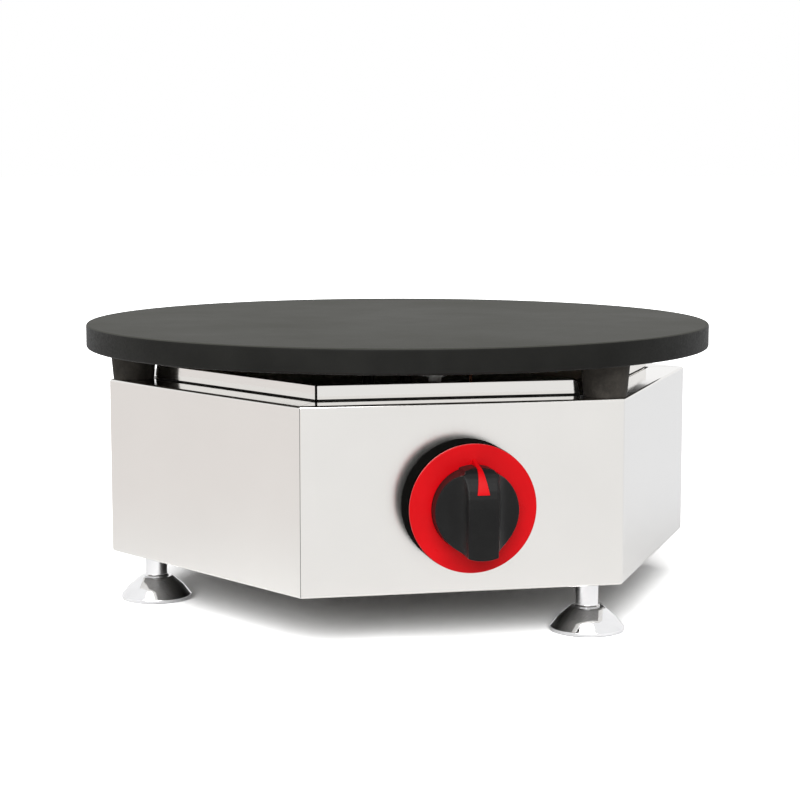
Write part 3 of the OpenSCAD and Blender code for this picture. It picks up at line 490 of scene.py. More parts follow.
def finished(piece, body, slot, node, finish=None):
    """Attaches a piece to its body, gives it the finish named by its slot, or the given one, if it has none
    yet, and hides the node that it stands for.
    """
    if not piece.data.materials:
        piece.data.materials.append(FINISH[finish or slot])
    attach(piece, body)
    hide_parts(node)


# ---- finishes

FINISH = {}


class Tree:
    """A node tree under construction: nodes are added and linked by short calls."""

    def __init__(self, owner):
        owner.use_nodes = True
        self.nodes, self.links = owner.node_tree.nodes, owner.node_tree.links

    def give(self, socket, value):
        """Links a socket to another one, or sets its value."""
        if isinstance(value, bpy.types.NodeSocket):
            self.links.new(value, socket)
        else:
            socket.default_value = value

    def add(self, kind, inputs=None, **values):
        node = self.nodes.new(kind)
        for key, value in values.items():
            setattr(node, key, value)
        for key, value in (inputs or {}).items():
            self.give(node.inputs[key], value)
        return node

    def sum(self, first, second, operation="ADD"):
        return self.add("ShaderNodeMath", {0: first, 1: second}, operation=operation).outputs["Value"]

    def vector(self, operation, first, second=(0, 0, 0)):
        """Outputs of a calculation with vectors."""
        return self.add("ShaderNodeVectorMath", {0: first, 1: second}, operation=operation).outputs


class Surface(Tree):
    """A finish, whose colour, gloss and relief vary over the piece."""

    def __init__(self, name, base, metallic=0.0, roughness=0.5, specular=0.5):
        self.material = FINISH[name] = bpy.data.materials.new(name)
        super().__init__(self.material)
        self.shader = self.nodes["Principled BSDF"].inputs
        self.base = base
        for socket, value in (("Base Color", (*base, 1)), ("Metallic", metallic), ("Roughness", roughness),
                              ("Specular IOR Level", specular)):
            self.give(self.shader[socket], value)
        self.place = self.add("ShaderNodeTexCoord").outputs["Object"]

    def stretched(self, scale):
        """Object coordinates stretched along the axes, for brush lines and lathe marks."""
        return self.add("ShaderNodeMapping", {"Vector": self.place, "Scale": scale}).outputs["Vector"]

    def noise(self, scale, detail=3.0, roughness=0.5, place=None):
        inputs = {"Vector": place or self.place, "Scale": scale, "Detail": detail, "Roughness": roughness}
        return self.add("ShaderNodeTexNoise", inputs).outputs["Fac"]

    def range(self, value, low, high, start=0.3, end=0.7):
        inputs = {"Value": value, "From Min": start, "From Max": end, "To Min": low, "To Max": high}
        return self.add("ShaderNodeMapRange", inputs).outputs["Result"]

    def mixed(self, factor, first, second):
        first, second = [c if isinstance(c, bpy.types.NodeSocket) else (*c, 1) for c in (first, second)]
        inputs = {"Factor": factor, 6: first, 7: second}
        return self.add("ShaderNodeMix", inputs, data_type="RGBA").outputs[2]

    def tint(self, factor, low, high):
        """Base colour that varies between two multiples of its own value."""
        first, second = [tuple(c * k for c in self.base) for k in (low, high)]
        self.give(self.shader["Base Color"], self.mixed(factor, first, second))

    def rough(self, value):
        self.give(self.shader["Roughness"], value)

    def bump(self, height, distance, strength=1.0):
        inputs = {"Height": height, "Distance": distance, "Strength": strength}
        self.give(self.shader["Normal"], self.add("ShaderNodeBump", inputs).outputs["Normal"])

    def rings(self, spacing):
        """Rings about the plate's axis, as a lathe leaves them."""
        moved = self.vector("SUBTRACT", self.place, PLATE_CENTRE)[0]
        flat = self.vector("MULTIPLY", moved, (1, 1, 0))[0]
        radius = self.vector("LENGTH", flat)["Value"]
        turns = self.sum(radius, spacing, "MULTIPLY")
        return self.add("ShaderNodeMath", {0: turns}, operation="SINE").outputs[0]


def griddle_iron(finishes):
    """Seasoned cooking surface: faint turning rings and cloudy patches of burnt-in oil."""
    s = Surface("griddle_iron", finishes.iron, roughness=0.62, specular=0.08)
    clouds = s.noise(9, 4, 0.6)
    grain = s.noise(900, 2)
    s.tint(s.sum(s.range(clouds, 0, 0.7), s.range(grain, 0, 0.3)), 0.86, 1.16)
    s.rough(s.range(clouds, 0.56, 0.7))
    s.bump(s.sum(s.sum(s.rings(5200), 0.3, "MULTIPLY"), grain), 0.00003, 0.5)


def rim_iron(finishes):
    """Turned and blacked rim of the plate."""
    s = Surface("rim_iron", finishes.iron_side, roughness=0.5, specular=0.07)
    lines = s.noise(1, 4, 0.6, s.stretched((20, 20, 1800)))
    grain = s.noise(700, 2)
    s.tint(s.range(s.noise(30, 3), 0, 1), 0.8, 1.25)
    s.rough(s.range(grain, 0.42, 0.58))
    s.bump(s.sum(lines, s.sum(grain, 0.4, "MULTIPLY")), 0.00005, 0.45)


def cast_iron(finishes):
    """Legs and underside with the sand mould's grain."""
    s = Surface("cast_iron", finishes.iron_cast, roughness=0.75, specular=0.15)
    grit = s.noise(420, 5, 0.65)
    lumps = s.noise(120, 3)
    s.tint(s.range(s.sum(s.sum(grit, lumps), 0.5, "MULTIPLY"), 0, 1, 0.38, 0.62), 0.75, 1.35)
    s.rough(s.range(grit, 0.62, 0.88))
    s.bump(s.sum(grit, lumps), 0.0003, 0.7)


def outer_stainless(finishes):
    """Mirror-polished sheet, slightly wavy, and satin sheet with fine upright brush lines."""
    for name, roughness, haze_range, line_range in (("polished_stainless", 0.06, (0.045, 0.085), (0, 0.02)),
                                                    ("satin_stainless", 0.22, (0.17, 0.21), (0, 0.04))):
        s = Surface(name, finishes.steel, 1.0, roughness)
        haze = s.noise(14, 4, 0.6)
        lines = s.noise(1, 3, 0.6, s.stretched((900, 900, 12)))
        s.tint(s.range(haze, 0, 1), 0.985, 1.01)
        s.rough(s.sum(s.range(haze, *haze_range), s.range(lines, *line_range)))
        if name == "satin_stainless":
            s.bump(lines, 0.00001, 0.2)
        else:
            s.bump(s.noise(5, 1), 0.0006, 0.12)


def heated_stainless(finishes):
    """Inside of the reflector pan, browned by the heat and dulled."""
    s = Surface("heated_stainless", finishes.heated, 1.0, 0.45)
    clouds = s.noise(18, 5, 0.65)
    s.tint(clouds, 0.7, 1.25)
    s.rough(s.range(clouds, 0.38, 0.55))
    s.bump(s.noise(260, 3), 0.00004, 0.3)


def brushed_stainless(finishes):
    """Dull rolled sheet of the base plate; its dark tone is partly the sheet's own and partly painted shade
    under the body.
    """
    s = Surface("brushed_stainless", finishes.rolled, 1.0, 0.3)
    lines = s.noise(1, 4, 0.7, s.stretched((6, 1500, 1500)))
    s.tint(s.range(s.noise(20, 4), 0, 1), 0.88, 1.0)
    s.rough(s.range(lines, 0.24, 0.42))
    s.bump(lines, 0.00004, 0.4)


def plated_steel(finishes):
    """Zinc-plated fasteners and brackets, with their faint spangle."""
    s = Surface("plated_steel", finishes.zinc, 1.0, 0.35)
    cells = s.add("ShaderNodeTexVoronoi", {"Vector": s.place, "Scale": 260.0}).outputs["Distance"]
    s.tint(s.range(s.noise(90, 4), 0, 1), 0.8, 1.1)
    s.rough(s.range(cells, 0.28, 0.45, 0, 1))
    s.bump(s.noise(600, 2), 0.00005, 0.3)


def coated(name, base, metallic, roughness, specular, tint, gloss, relief):
    """A finish whose colour, gloss and relief follow a noise each: scale, detail, roughness and range."""
    s = Surface(name, base, metallic, roughness, specular)
    s.tint(s.range(s.noise(*tint[:3]), 0, 1), *tint[3:])
    s.rough(s.range(s.noise(*gloss[:3]), *gloss[3:]))
    s.bump(s.noise(*relief[:3]), *relief[3:])


def mottled(name, base, low, high, scale, roughness, depth, metallic=0.0):
    """A plain finish with mottled colour, uneven gloss and a little relief."""
    s = Surface(name, base, metallic, roughness)
    clouds = s.noise(scale, 4, 0.6)
    s.tint(s.range(clouds, 0, 1), low, high)
    s.rough(s.range(clouds, roughness * 0.85, min(1, roughness * 1.15)))
    s.bump(s.noise(scale * 6, 3), depth, 0.5)


def mix_finishes(finishes):
    """Makes every finish once."""
    for make in (griddle_iron, rim_iron, cast_iron, outer_stainless, heated_stainless, brushed_stainless,
                 plated_steel):
        make(finishes)
    chrome, red, black, bezel = finishes.chrome, finishes.red, finishes.black, finishes.bezel
    dull, grain = (120, 3, 0.5, 0.8, 1.3), (1200, 2, 0.5, 0.00005, 0.35)
    for row in (("foot_chrome", chrome, 1.0, 0.08, 0.5, (60, 4, 0.6, 0.94, 1.02), (60, 4, 0.6, 0.06, 0.12),
                 (40, 2, 0.5, 0.0001, 0.15)),
                ("skirt_red", red, 0.0, 0.32, 0.12, (45, 3, 0.5, 0.94, 1.06), (160, 4, 0.5, 0.27, 0.4),
                 (900, 2, 0.5, 0.00003, 0.25)),
                ("knob_black", black, 0.0, 0.36, 0.12, (70, 3, 0.5, 0.85, 1.15), (220, 4, 0.5, 0.3, 0.42),
                 (1500, 2, 0.5, 0.00004, 0.35)),
                ("bezel_black", bezel, 0.0, 0.8, 0.004, dull, (500, 3, 0.5, 0.72, 0.88), grain),
                ("black_plastic", bezel, 0.0, 0.55, 0.12, dull, (500, 3, 0.5, 0.48, 0.62), grain)):
        coated(*row)
    for row in (("element_sheath", (0.075, 0.068, 0.062), 0.7, 1.3, 90, 0.5, 0.00005, 0.7),
                # Near-black finish that paints the shade in the housing's corner joints and in the groove at
                # the collar's foot
                ("painted_joint_shade", (0.004, 0.0035, 0.003), 0.6, 1.4, 300, 0.8, 0.0001),
                ("copper", (0.62, 0.27, 0.15), 0.75, 1.1, 120, 0.3, 0.00004, 1.0),
                ("mineral_wool", (0.66, 0.63, 0.55), 0.75, 1.1, 240, 0.95, 0.0008),
                ("white_ceramic", (0.72, 0.69, 0.6), 0.92, 1.05, 150, 0.35, 0.00004),
                ("yellow_brass", (0.68, 0.48, 0.16), 0.8, 1.1, 200, 0.28, 0.00003, 1.0),
                ("lead_sleeve", (0.5, 0.06, 0.04), 0.8, 1.1, 400, 0.6, 0.0002),
                ("earth_sleeve", (0.22, 0.42, 0.04), 0.85, 1.1, 400, 0.5, 0.0001),
                ("black_rubber", (0.012, 0.012, 0.012), 0.7, 1.5, 500, 0.8, 0.0001)):
        mottled(*row)


# ---- pieces

class PieceOperator:
    """What the operators share."""
    bl_options = {"REGISTER", "UNDO"}


class CREPE_OT_finishes(PieceOperator, bpy.types.Operator):
    """Mix the finishes and put them on the pieces that stay as they are"""
    bl_idname = "crepe.finishes"
    bl_label = "Finishes"

    def execute(self, context):
        mix_finishes(context.scene.crepe_finishes)
        for entry in frame["record"]["subparts"]:
            node = frame["nodes"][entry["node"]]
            node.data.materials.clear()
            node.data.materials.append(FINISH[entry["material_slot"]])
        return {"FINISHED"}


class CREPE_OT_griddle(PieceOperator, bpy.types.Operator):
    """Turn the griddle plate and cast its three legs on"""
    bl_idname = "crepe.griddle"
    bl_label = "Griddle plate"

    def execute(self, context):
        plate, heating = context.scene.crepe_plate, context.scene.crepe_heating
        top = PLATE_HIGH.z
        under = top - plate.thickness
        ceiling = under + plate.recess
        groove = heating.radius + heating.play
        tube_z = heating_height(context.scene)
        rim = filleted([(0, under), (plate.radius, under, plate.edge), (plate.radius, top, plate.edge),
                        (0, top)], closed=False, steps=5)
        outline = [(0, ceiling), (plate.recess_radius - plate.recess, ceiling), (plate.recess_radius, under)]
        piece = turned("griddle", outline + rim[1:], steps=288, closed=False)
        placed(piece, Matrix.Translation(PLATE_CENTRE))
        for turn in LEG_TURNS:
            combined(piece, self.leg(plate, under, turn), "UNION")
        for radius in (heating.inner, heating.outer):
            seat = turned("seat", arc((radius, tube_z), groove, 0, 360, 20)[:-1], steps=192)
            cut(piece, placed(seat, Matrix.Translation(CENTRE)))
        self.faces(piece, plate, top)
        smoothed(piece, 40)
        finished(piece, "appliance", "griddle_iron", "griddle_plate")
        return {"FINISHED"}

    def leg(self, plate, under, turn):
        """A tapered leg that reaches a little into the plate, with the bore for its bolt."""
        low, inside = PLATE_LOW.z, under + SPARE
        bore_end = low + 15 * MM
        wide = plate.leg_top + 2 * plate.fillet
        outline = filleted([(plate.bolt, bore_end), (plate.bolt, low), (plate.leg_foot, low, 0.6 * MM),
                            (plate.leg_top, under, plate.fillet), (wide, under), (wide, inside), (0, inside),
                            (0, bore_end)])
        return placed(turned("leg", outline, steps=72), turned_to(turn, CORNER - plate.leg_inset))

    def faces(self, piece, plate, top):
        """Gives the cooking surface, the rim and the castings their own finishes."""
        def choose(face):
            if face.center.z > top - plate.edge / 2:
                return 2
            return int((face.center - PLATE_CENTRE).to_2d().length > 0.98 * plate.radius)

        painted(piece, ("cast_iron", "rim_iron", "griddle_iron"), choose)


def heating_height(scene):
    """Height of the heating tubes' centreline: a quarter of a tube sinks into the plate."""
    plate, heating = scene.crepe_plate, scene.crepe_heating
    return PLATE_HIGH.z - plate.thickness + plate.recess - heating.radius / 2 - heating.play


def loop_ends(heating, radius):
    """Both ends of a heating loop: where it leaves the circle, and the foot that it goes down to."""
    half = asin(heating.gap / 2 / radius)
    ends = []
    for side in (1, -1):
        out = Matrix.Rotation(pi / 2 + side * half, 3, "Z") @ Vector((1, 0, 0))
        ends.append((CENTRE + out * radius, CENTRE + out * radius - side * UP.cross(out) * heating.bend))
    return ends


def swung(steps, angle, centre, axis):
    """Pulls the selected section round an axis, the right-hand way."""
    bpy.ops.mesh.spin(steps=steps, angle=-angle, center=centre, axis=axis)


class CREPE_OT_heating(PieceOperator, bpy.types.Operator):
    """Bend the two sheathed heating tubes"""
    bl_idname = "crepe.heating"
    bl_label = "Heating tubes"

    def execute(self, context):
        heating = context.scene.crepe_heating
        for name, radius in (("outer_element", heating.outer), ("inner_element", heating.inner)):
            piece = self.tube(context.scene, name.replace("element", "tube"), radius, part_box(name)[0].z)
            smoothed(piece, 50, weighted=False)
            finished(piece, "appliance", "element_sheath", name)
        return {"FINISHED"}

    def tube(self, scene, name, radius, pin_low):
        """A round section pulled up, bent, led round the loop, bent down again and given its pins."""
        heating = scene.crepe_heating
        height = heating_height(scene)
        low = pin_low + heating.pin_length
        (first, start), (last, end) = loop_ends(heating, radius)
        rise = UP * (height - heating.bend)
        bpy.ops.mesh.primitive_circle_add(vertices=24, radius=heating.radius, location=start + UP * low)
        piece = named(name)
        with editing(piece, "EDGE"):
            pulled(rise - UP * low)
            swung(8, pi / 2, first + rise, (CENTRE - first).normalized())
            swung(120, tau - 2 * asin(heating.gap / 2 / radius), CENTRE, UP)
            swung(8, pi / 2, last + rise, (CENTRE - last).normalized())
            pulled(UP * low - rise)
        with editing(piece, "EDGE", lambda e: e.is_boundary):
            bpy.ops.mesh.edge_face_add()
            face_out()
        for i, spot in enumerate((start, end)):
            pin = rod(f"pin_{i}", heating.pin, pin_low, low + SPARE, 24, Matrix.Translation(spot))
            combined(piece, pin, "UNION")
        return piece


class CREPE_OT_housing(PieceOperator, bpy.types.Operator):
    """Bend the hexagonal housing from sheet"""
    bl_idname = "crepe.housing"
    bl_label = "Housing"

    def execute(self, context):
        sizes = context.scene.crepe_housing
        low, high = HOUSING_LOW.z, HOUSING_HIGH.z
        piece = hexagon("housing_shell", APOTHEM, low, high, "NOTHING")
        bevelled(piece, upright, sizes.corner * TAN_30, 5)
        with editing(piece, "EDGE", lambda e: middle(e).z > high - TINY):
            self.turn_in(1 - sizes.flange / APOTHEM)
            pulled(-UP * sizes.lip)
        with editing(piece, "EDGE", lambda e: middle(e).z < low + TINY):
            self.turn_in(1 - sizes.turn_in / APOTHEM)
        bevelled(piece, folded, sizes.bend, 4)
        thickened(piece, sizes.sheet)
        self.openings(piece, context.scene)
        self.faces(piece, high, sizes.mitre)
        smoothed(piece, 30)
        finished(piece, "appliance", "polished_stainless", "housing")
        return {"FINISHED"}

    def turn_in(self, share):
        bpy.ops.mesh.extrude_region_move()
        bpy.ops.transform.resize(value=(share, share, 1), center_override=CENTRE)

    def faces(self, piece, high, mitre):
        """Polished flange, satin panels and painted shade: a near-black finish in the joints."""
        def choose(face):
            for turn in SEAM_TURNS:
                corners = [turned_to(turn).inverted() @ piece.data.vertices[i].co for i in face.vertices]
                # A face inside a joint gets the near-black painted shade
                if all(c.x > 0 and abs(c.y) < mitre / 2 + TINY for c in corners):
                    return 2
            return int(face.center.z < high - TINY and abs(face.normal.z) < 0.1)

        painted(piece, ("polished_stainless", "satin_stainless", "painted_joint_shade"), choose)

    def openings(self, piece, scene):
        """Joints at three corners, and the holes for the bolts, the spindle and the gland."""
        sizes, plate = scene.crepe_housing, scene.crepe_plate
        top = HOUSING_HIGH.z
        blunt = sizes.corner * (1 / COS_30 - 1)
        for turn in SEAM_TURNS:
            for name, reach, low in (("groove", APOTHEM - sizes.flange, top - sizes.sheet / 2),
                                     ("seam", CORNER - blunt - sizes.joint, HOUSING_LOW.z - SPARE)):
                cut(piece, block(name, (reach, -sizes.mitre / 2, low),
                                 (CORNER + SPARE, sizes.mitre / 2, top + SPARE), turned_to(turn)))
        holes = [(sizes.bolt_hole, 48, turned_to(turn, CORNER - plate.leg_inset, top)) for turn in LEG_TURNS]
        holes += [(sizes.spindle_hole, 48, on_front()), (sizes.gland_hole, 64, on_rear())]
        for radius, steps, place in holes:
            cut(piece, rod("hole", radius, -2 * sizes.sheet, SPARE, steps, place))


class CREPE_OT_pan(PieceOperator, bpy.types.Operator):
    """Press the reflector pan and trim its collar"""
    bl_idname = "crepe.pan"
    bl_label = "Reflector pan"

    def execute(self, context):
        sizes, heating = context.scene.crepe_pan, context.scene.crepe_heating
        apothem = APOTHEM - context.scene.crepe_housing.flange - sizes.play
        piece = hexagon("pan_tray", apothem, PAN_LOW.z, PAN_HIGH.z, "NGON")
        with editing(piece, "FACE", lambda f: f.normal.z > 0.9):
            bpy.ops.mesh.delete(type="ONLY_FACE")
        bevelled(piece, upright, sizes.corner * TAN_30, 4)
        bevelled(piece, folded, sizes.bend, 3)
        thickened(piece, sizes.sheet)
        band = hexagon("band", apothem + SPARE, HOUSING_HIGH.z, HOUSING_HIGH.z + sizes.groove, "NGON")
        combined(band, hexagon("core", apothem - sizes.groove_depth, HOUSING_HIGH.z - SPARE,
                               HOUSING_HIGH.z + 2 * sizes.groove, "NGON"), "DIFFERENCE")
        cut(piece, band)
        self.faces(piece, sizes, apothem)
        for turn in LEG_TURNS:
            cut(piece, self.notch(sizes, apothem, turn))
        for turn in SEAM_TURNS:
            cut(piece, block("slit", (apothem - 20 * MM, -sizes.seam / 2, HOUSING_HIGH.z - sizes.slit),
                             (apothem + 40 * MM, sizes.seam / 2, PAN_HIGH.z + SPARE), turned_to(turn)))
        for radius in (heating.outer, heating.inner):
            for _, spot in reversed(loop_ends(heating, radius)):
                cut(piece, rod("hole", sizes.bush, PAN_LOW.z - SPARE, PAN_LOW.z + sizes.sheet + SPARE, 48,
                               Matrix.Translation(spot)))
        smoothed(piece, 30)
        finished(piece, "appliance", "polished_stainless", "reflector_pan")
        return {"FINISHED"}

    def faces(self, piece, sizes, apothem):
        """Polished collar, painted shade in the groove around its foot and a browned inside."""
        sides = [Vector((cos(t), sin(t))) for t in [radians(30 + 60 * i) for i in range(6)]]

        def choose(face):
            height = face.center.z - HOUSING_HIGH.z
            depth = apothem - max((face.center - CENTRE).to_2d().dot(side) for side in sides)
            if depth > sizes.sheet - TINY:
                return 2
            # A face in the groove gets the near-black painted shade
            return int(-TINY < height < sizes.groove + TINY and depth > 0.3 * sizes.groove_depth)

        painted(piece, ("polished_stainless", "painted_joint_shade", "heated_stainless"), choose)

    def notch(self, sizes, apothem, turn):
        """Cutter for the gap in the collar around a leg, with the collar's rounded ends."""
        tall = PAN_HIGH.z - HOUSING_HIGH.z
        foot = (sizes.end - sizes.slant) * COS_30
        head = sizes.end * COS_30
        beyond = head + 9 * MM
        half = filleted([(foot, 0), (head, tall, sizes.end_round * COS_30), (beyond, tall),
                         (beyond, tall + 6 * MM)], closed=False, steps=6)
        outline = half + [Vector((-p.x, p.y)) for p in reversed(half)]
        inward, across = 20 * MM, 60 * MM
        cutter = extruded("notch", outline, across)
        return placed(cutter, turned_to(turn, apothem - inward, HOUSING_HIGH.z) @ STANDING)


class CREPE_OT_bezel(PieceOperator, bpy.types.Operator):
    """Turn the fixed bezel behind the knob"""
    bl_idname = "crepe.bezel"
    bl_label = "Bezel"

    def execute(self, context):
        knob = context.scene.crepe_knob
        radius = (BEZEL_HIGH.x - BEZEL_LOW.x) / 2
        depth = BEZEL_HIGH.y - BEZEL_LOW.y
        inner = knob.hub + knob.hub_gap
        outline = filleted([(inner, 0), (radius, 0, 0.3 * MM), (radius, depth, 1.2 * MM),
                            (radius - knob.wall, depth, 0.5 * MM), (radius - knob.wall, knob.floor, 0.8 * MM),
                            (inner, knob.floor)])
        piece = placed(turned("bezel_drum", outline, steps=144), on_front())
        smoothed(piece, 35)
        finished(piece, "appliance", "black_plastic", "knob_bezel", "bezel_black")
        return {"FINISHED"}


class CREPE_OT_skirt(PieceOperator, bpy.types.Operator):
    """Turn the red skirt ring"""
    bl_idname = "crepe.skirt"
    bl_label = "Skirt ring"

    def execute(self, context):
        knob = context.scene.crepe_knob
        radius = (SKIRT_HIGH.x - SKIRT_LOW.x) / 2
        thick = SKIRT_HIGH.y - SKIRT_LOW.y
        inner = knob.boss + 0.1 * MM
        outline = filleted([(inner, 0), (radius, 0, 0.3 * MM), (radius, thick, 0.6 * MM),
                            (inner, thick, 0.2 * MM)])
        piece = placed(turned("skirt_ring", outline, steps=144), on_front(HOUSING_LOW.y - SKIRT_HIGH.y))
        smoothed(piece, 35)
        finished(piece, "knob", "skirt_red", "knob_skirt")
        return {"FINISHED"}


def trimmed(piece, point, outward):
    """Cuts off all that lies beyond a plane and closes the cut."""
    with editing(piece, "FACE"):
        bpy.ops.mesh.bisect(plane_co=point, plane_no=outward, use_fill=True, clear_outer=True)


def skirt_face():
    """Distance from the front panel to the face of the skirt ring."""
    return HOUSING_LOW.y - SKIRT_LOW.y


def grip_slope(knob):
    """Side view of the grip's upper end, which falls in an oval curve from its face to the ring."""
    drop, run = knob.grip_height - knob.boss_height, knob.grip_reach - knob.slope_start
    turns = [radians(a) for a in (0, 14, 27, 39, 50, 60, 70, 80, 90)]
    return [Vector((knob.slope_start + run * sin(t), knob.boss_height + drop * cos(t))) for t in turns]


def pointer_wedge(name, knob, spare=0):
    """The wedge let into the grip. Its side view follows the slope, and its plan narrows to the tip."""
    slope = grip_slope(knob)
    sink, proud, base = knob.pointer_sink, knob.pointer_proud, knob.pointer_base - spare
    outer, inner = [[point + (point - Vector((knob.slope_start, knob.boss_height))).normalized() * shift
                     for point in slope if point.x > knob.pointer_base - 3 * MM] for shift in (proud, -sink)]
    tip_height = 1.2 * MM
    side = inner + [(inner[-1].x, -spare), (knob.pointer_tip, -spare), (knob.pointer_tip, tip_height)]
    side += list(reversed(outer))
    half = knob.pointer_width / 2 + spare
    wedge = placed(extruded(name, side, 2 * half), Matrix.Translation((-half, 0, 0)) @ STANDING)
    trimmed(wedge, (0, base, 0), (0, -1, 0))
    taper = atan2(half - knob.pointer_end - spare, knob.pointer_tip - knob.pointer_base)
    for s in (-1, 1):
        trimmed(wedge, (s * half, knob.pointer_base, 0), (s * cos(taper), sin(taper), 0))
    with editing(wedge):
        face_out()
    return wedge


class CREPE_OT_grip(PieceOperator, bpy.types.Operator):
    """Carve the knob's grip: a bar between two scooped flanks on a round boss"""
    bl_idname = "crepe.grip"
    bl_label = "Knob grip"

    def execute(self, context):
        knob = context.scene.crepe_knob
        piece = self.blank(knob)
        shaped(piece, "REMESH", mode="VOXEL", voxel_size=knob.softness)
        with editing(piece, "VERT"):
            bpy.ops.mesh.vertices_smooth(factor=0.5, repeat=5)
        cut(piece, pointer_wedge("pocket", knob, knob.pocket_play))
        combined(piece, self.back(knob), "UNION")
        placed(piece, on_front(skirt_face()))
        smoothed(piece, 40, weighted=False)
        finished(piece, "knob", "knob_black", "knob_body")
        return {"FINISHED"}

    def blank(self, knob):
        """The grip before its edges are softened, standing on the ring's face."""
        deep = -SPARE
        scoop = knob.grip_height - knob.boss_height
        piece = rod("knob_grip", knob.boss, deep, knob.grip_height, 128)
        along = Matrix.Rotation(pi / 2, 4, "X")
        for s in (-1, 1):
            place = Matrix.Translation((s * (knob.grip_width / 2 + scoop), 0, knob.grip_height)) @ along
            cut(piece, rod("scoop", scoop, -3 * scoop, 3 * scoop, 96, place))
        bar = rod("bar", knob.grip_reach, deep, knob.grip_height, 128)
        for s in (-1, 1):
            trimmed(bar, (s * knob.grip_width / 2, 0, 0), (s, 0, 0))
        combined(piece, bar, "UNION")
        slope = grip_slope(knob)
        for start, end in zip(slope, slope[1:]):
            run = end - start
            trimmed(piece, (0, start.x, start.y), Vector((0, -run.y, run.x)).normalized())
        return piece

    def back(self, knob):
        """The disc that carries the ring, and the hub with the spindle's bore."""
        ring = SKIRT_HIGH.y - SKIRT_LOW.y
        reach = (SKIRT_HIGH.x - SKIRT_LOW.x) / 2 - 1 * MM
        disc_low, disc_high, inside = -ring - 1.2 * MM, -ring - 0.02 * MM, 2 * MM
        core = knob.boss - 0.2 * MM
        hub_end = HOUSING_LOW.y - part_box("knob_body")[1].y - skirt_face()
        outline = filleted([(knob.spindle, hub_end), (knob.hub, hub_end, 0.5 * MM), (knob.hub, disc_low),
                            (reach, disc_low, 0.3 * MM), (reach, disc_high), (core, disc_high),
                            (core, inside), (0, inside), (0, 0), (knob.spindle, 0)])
        return turned("back", outline, steps=128)


class CREPE_OT_pointer(PieceOperator, bpy.types.Operator):
    """Cut the red pointer that is let into the grip"""
    bl_idname = "crepe.pointer"
    bl_label = "Pointer"

    def execute(self, context):
        piece = pointer_wedge("pointer_wedge", context.scene.crepe_knob)
        shaped(piece, "BEVEL", width=0.25 * MM, segments=2, limit_method="ANGLE")
        placed(piece, on_front(skirt_face()))
        smoothed(piece, 35)
        finished(piece, "knob", "skirt_red", "knob_pointer")
        return {"FINISHED"}


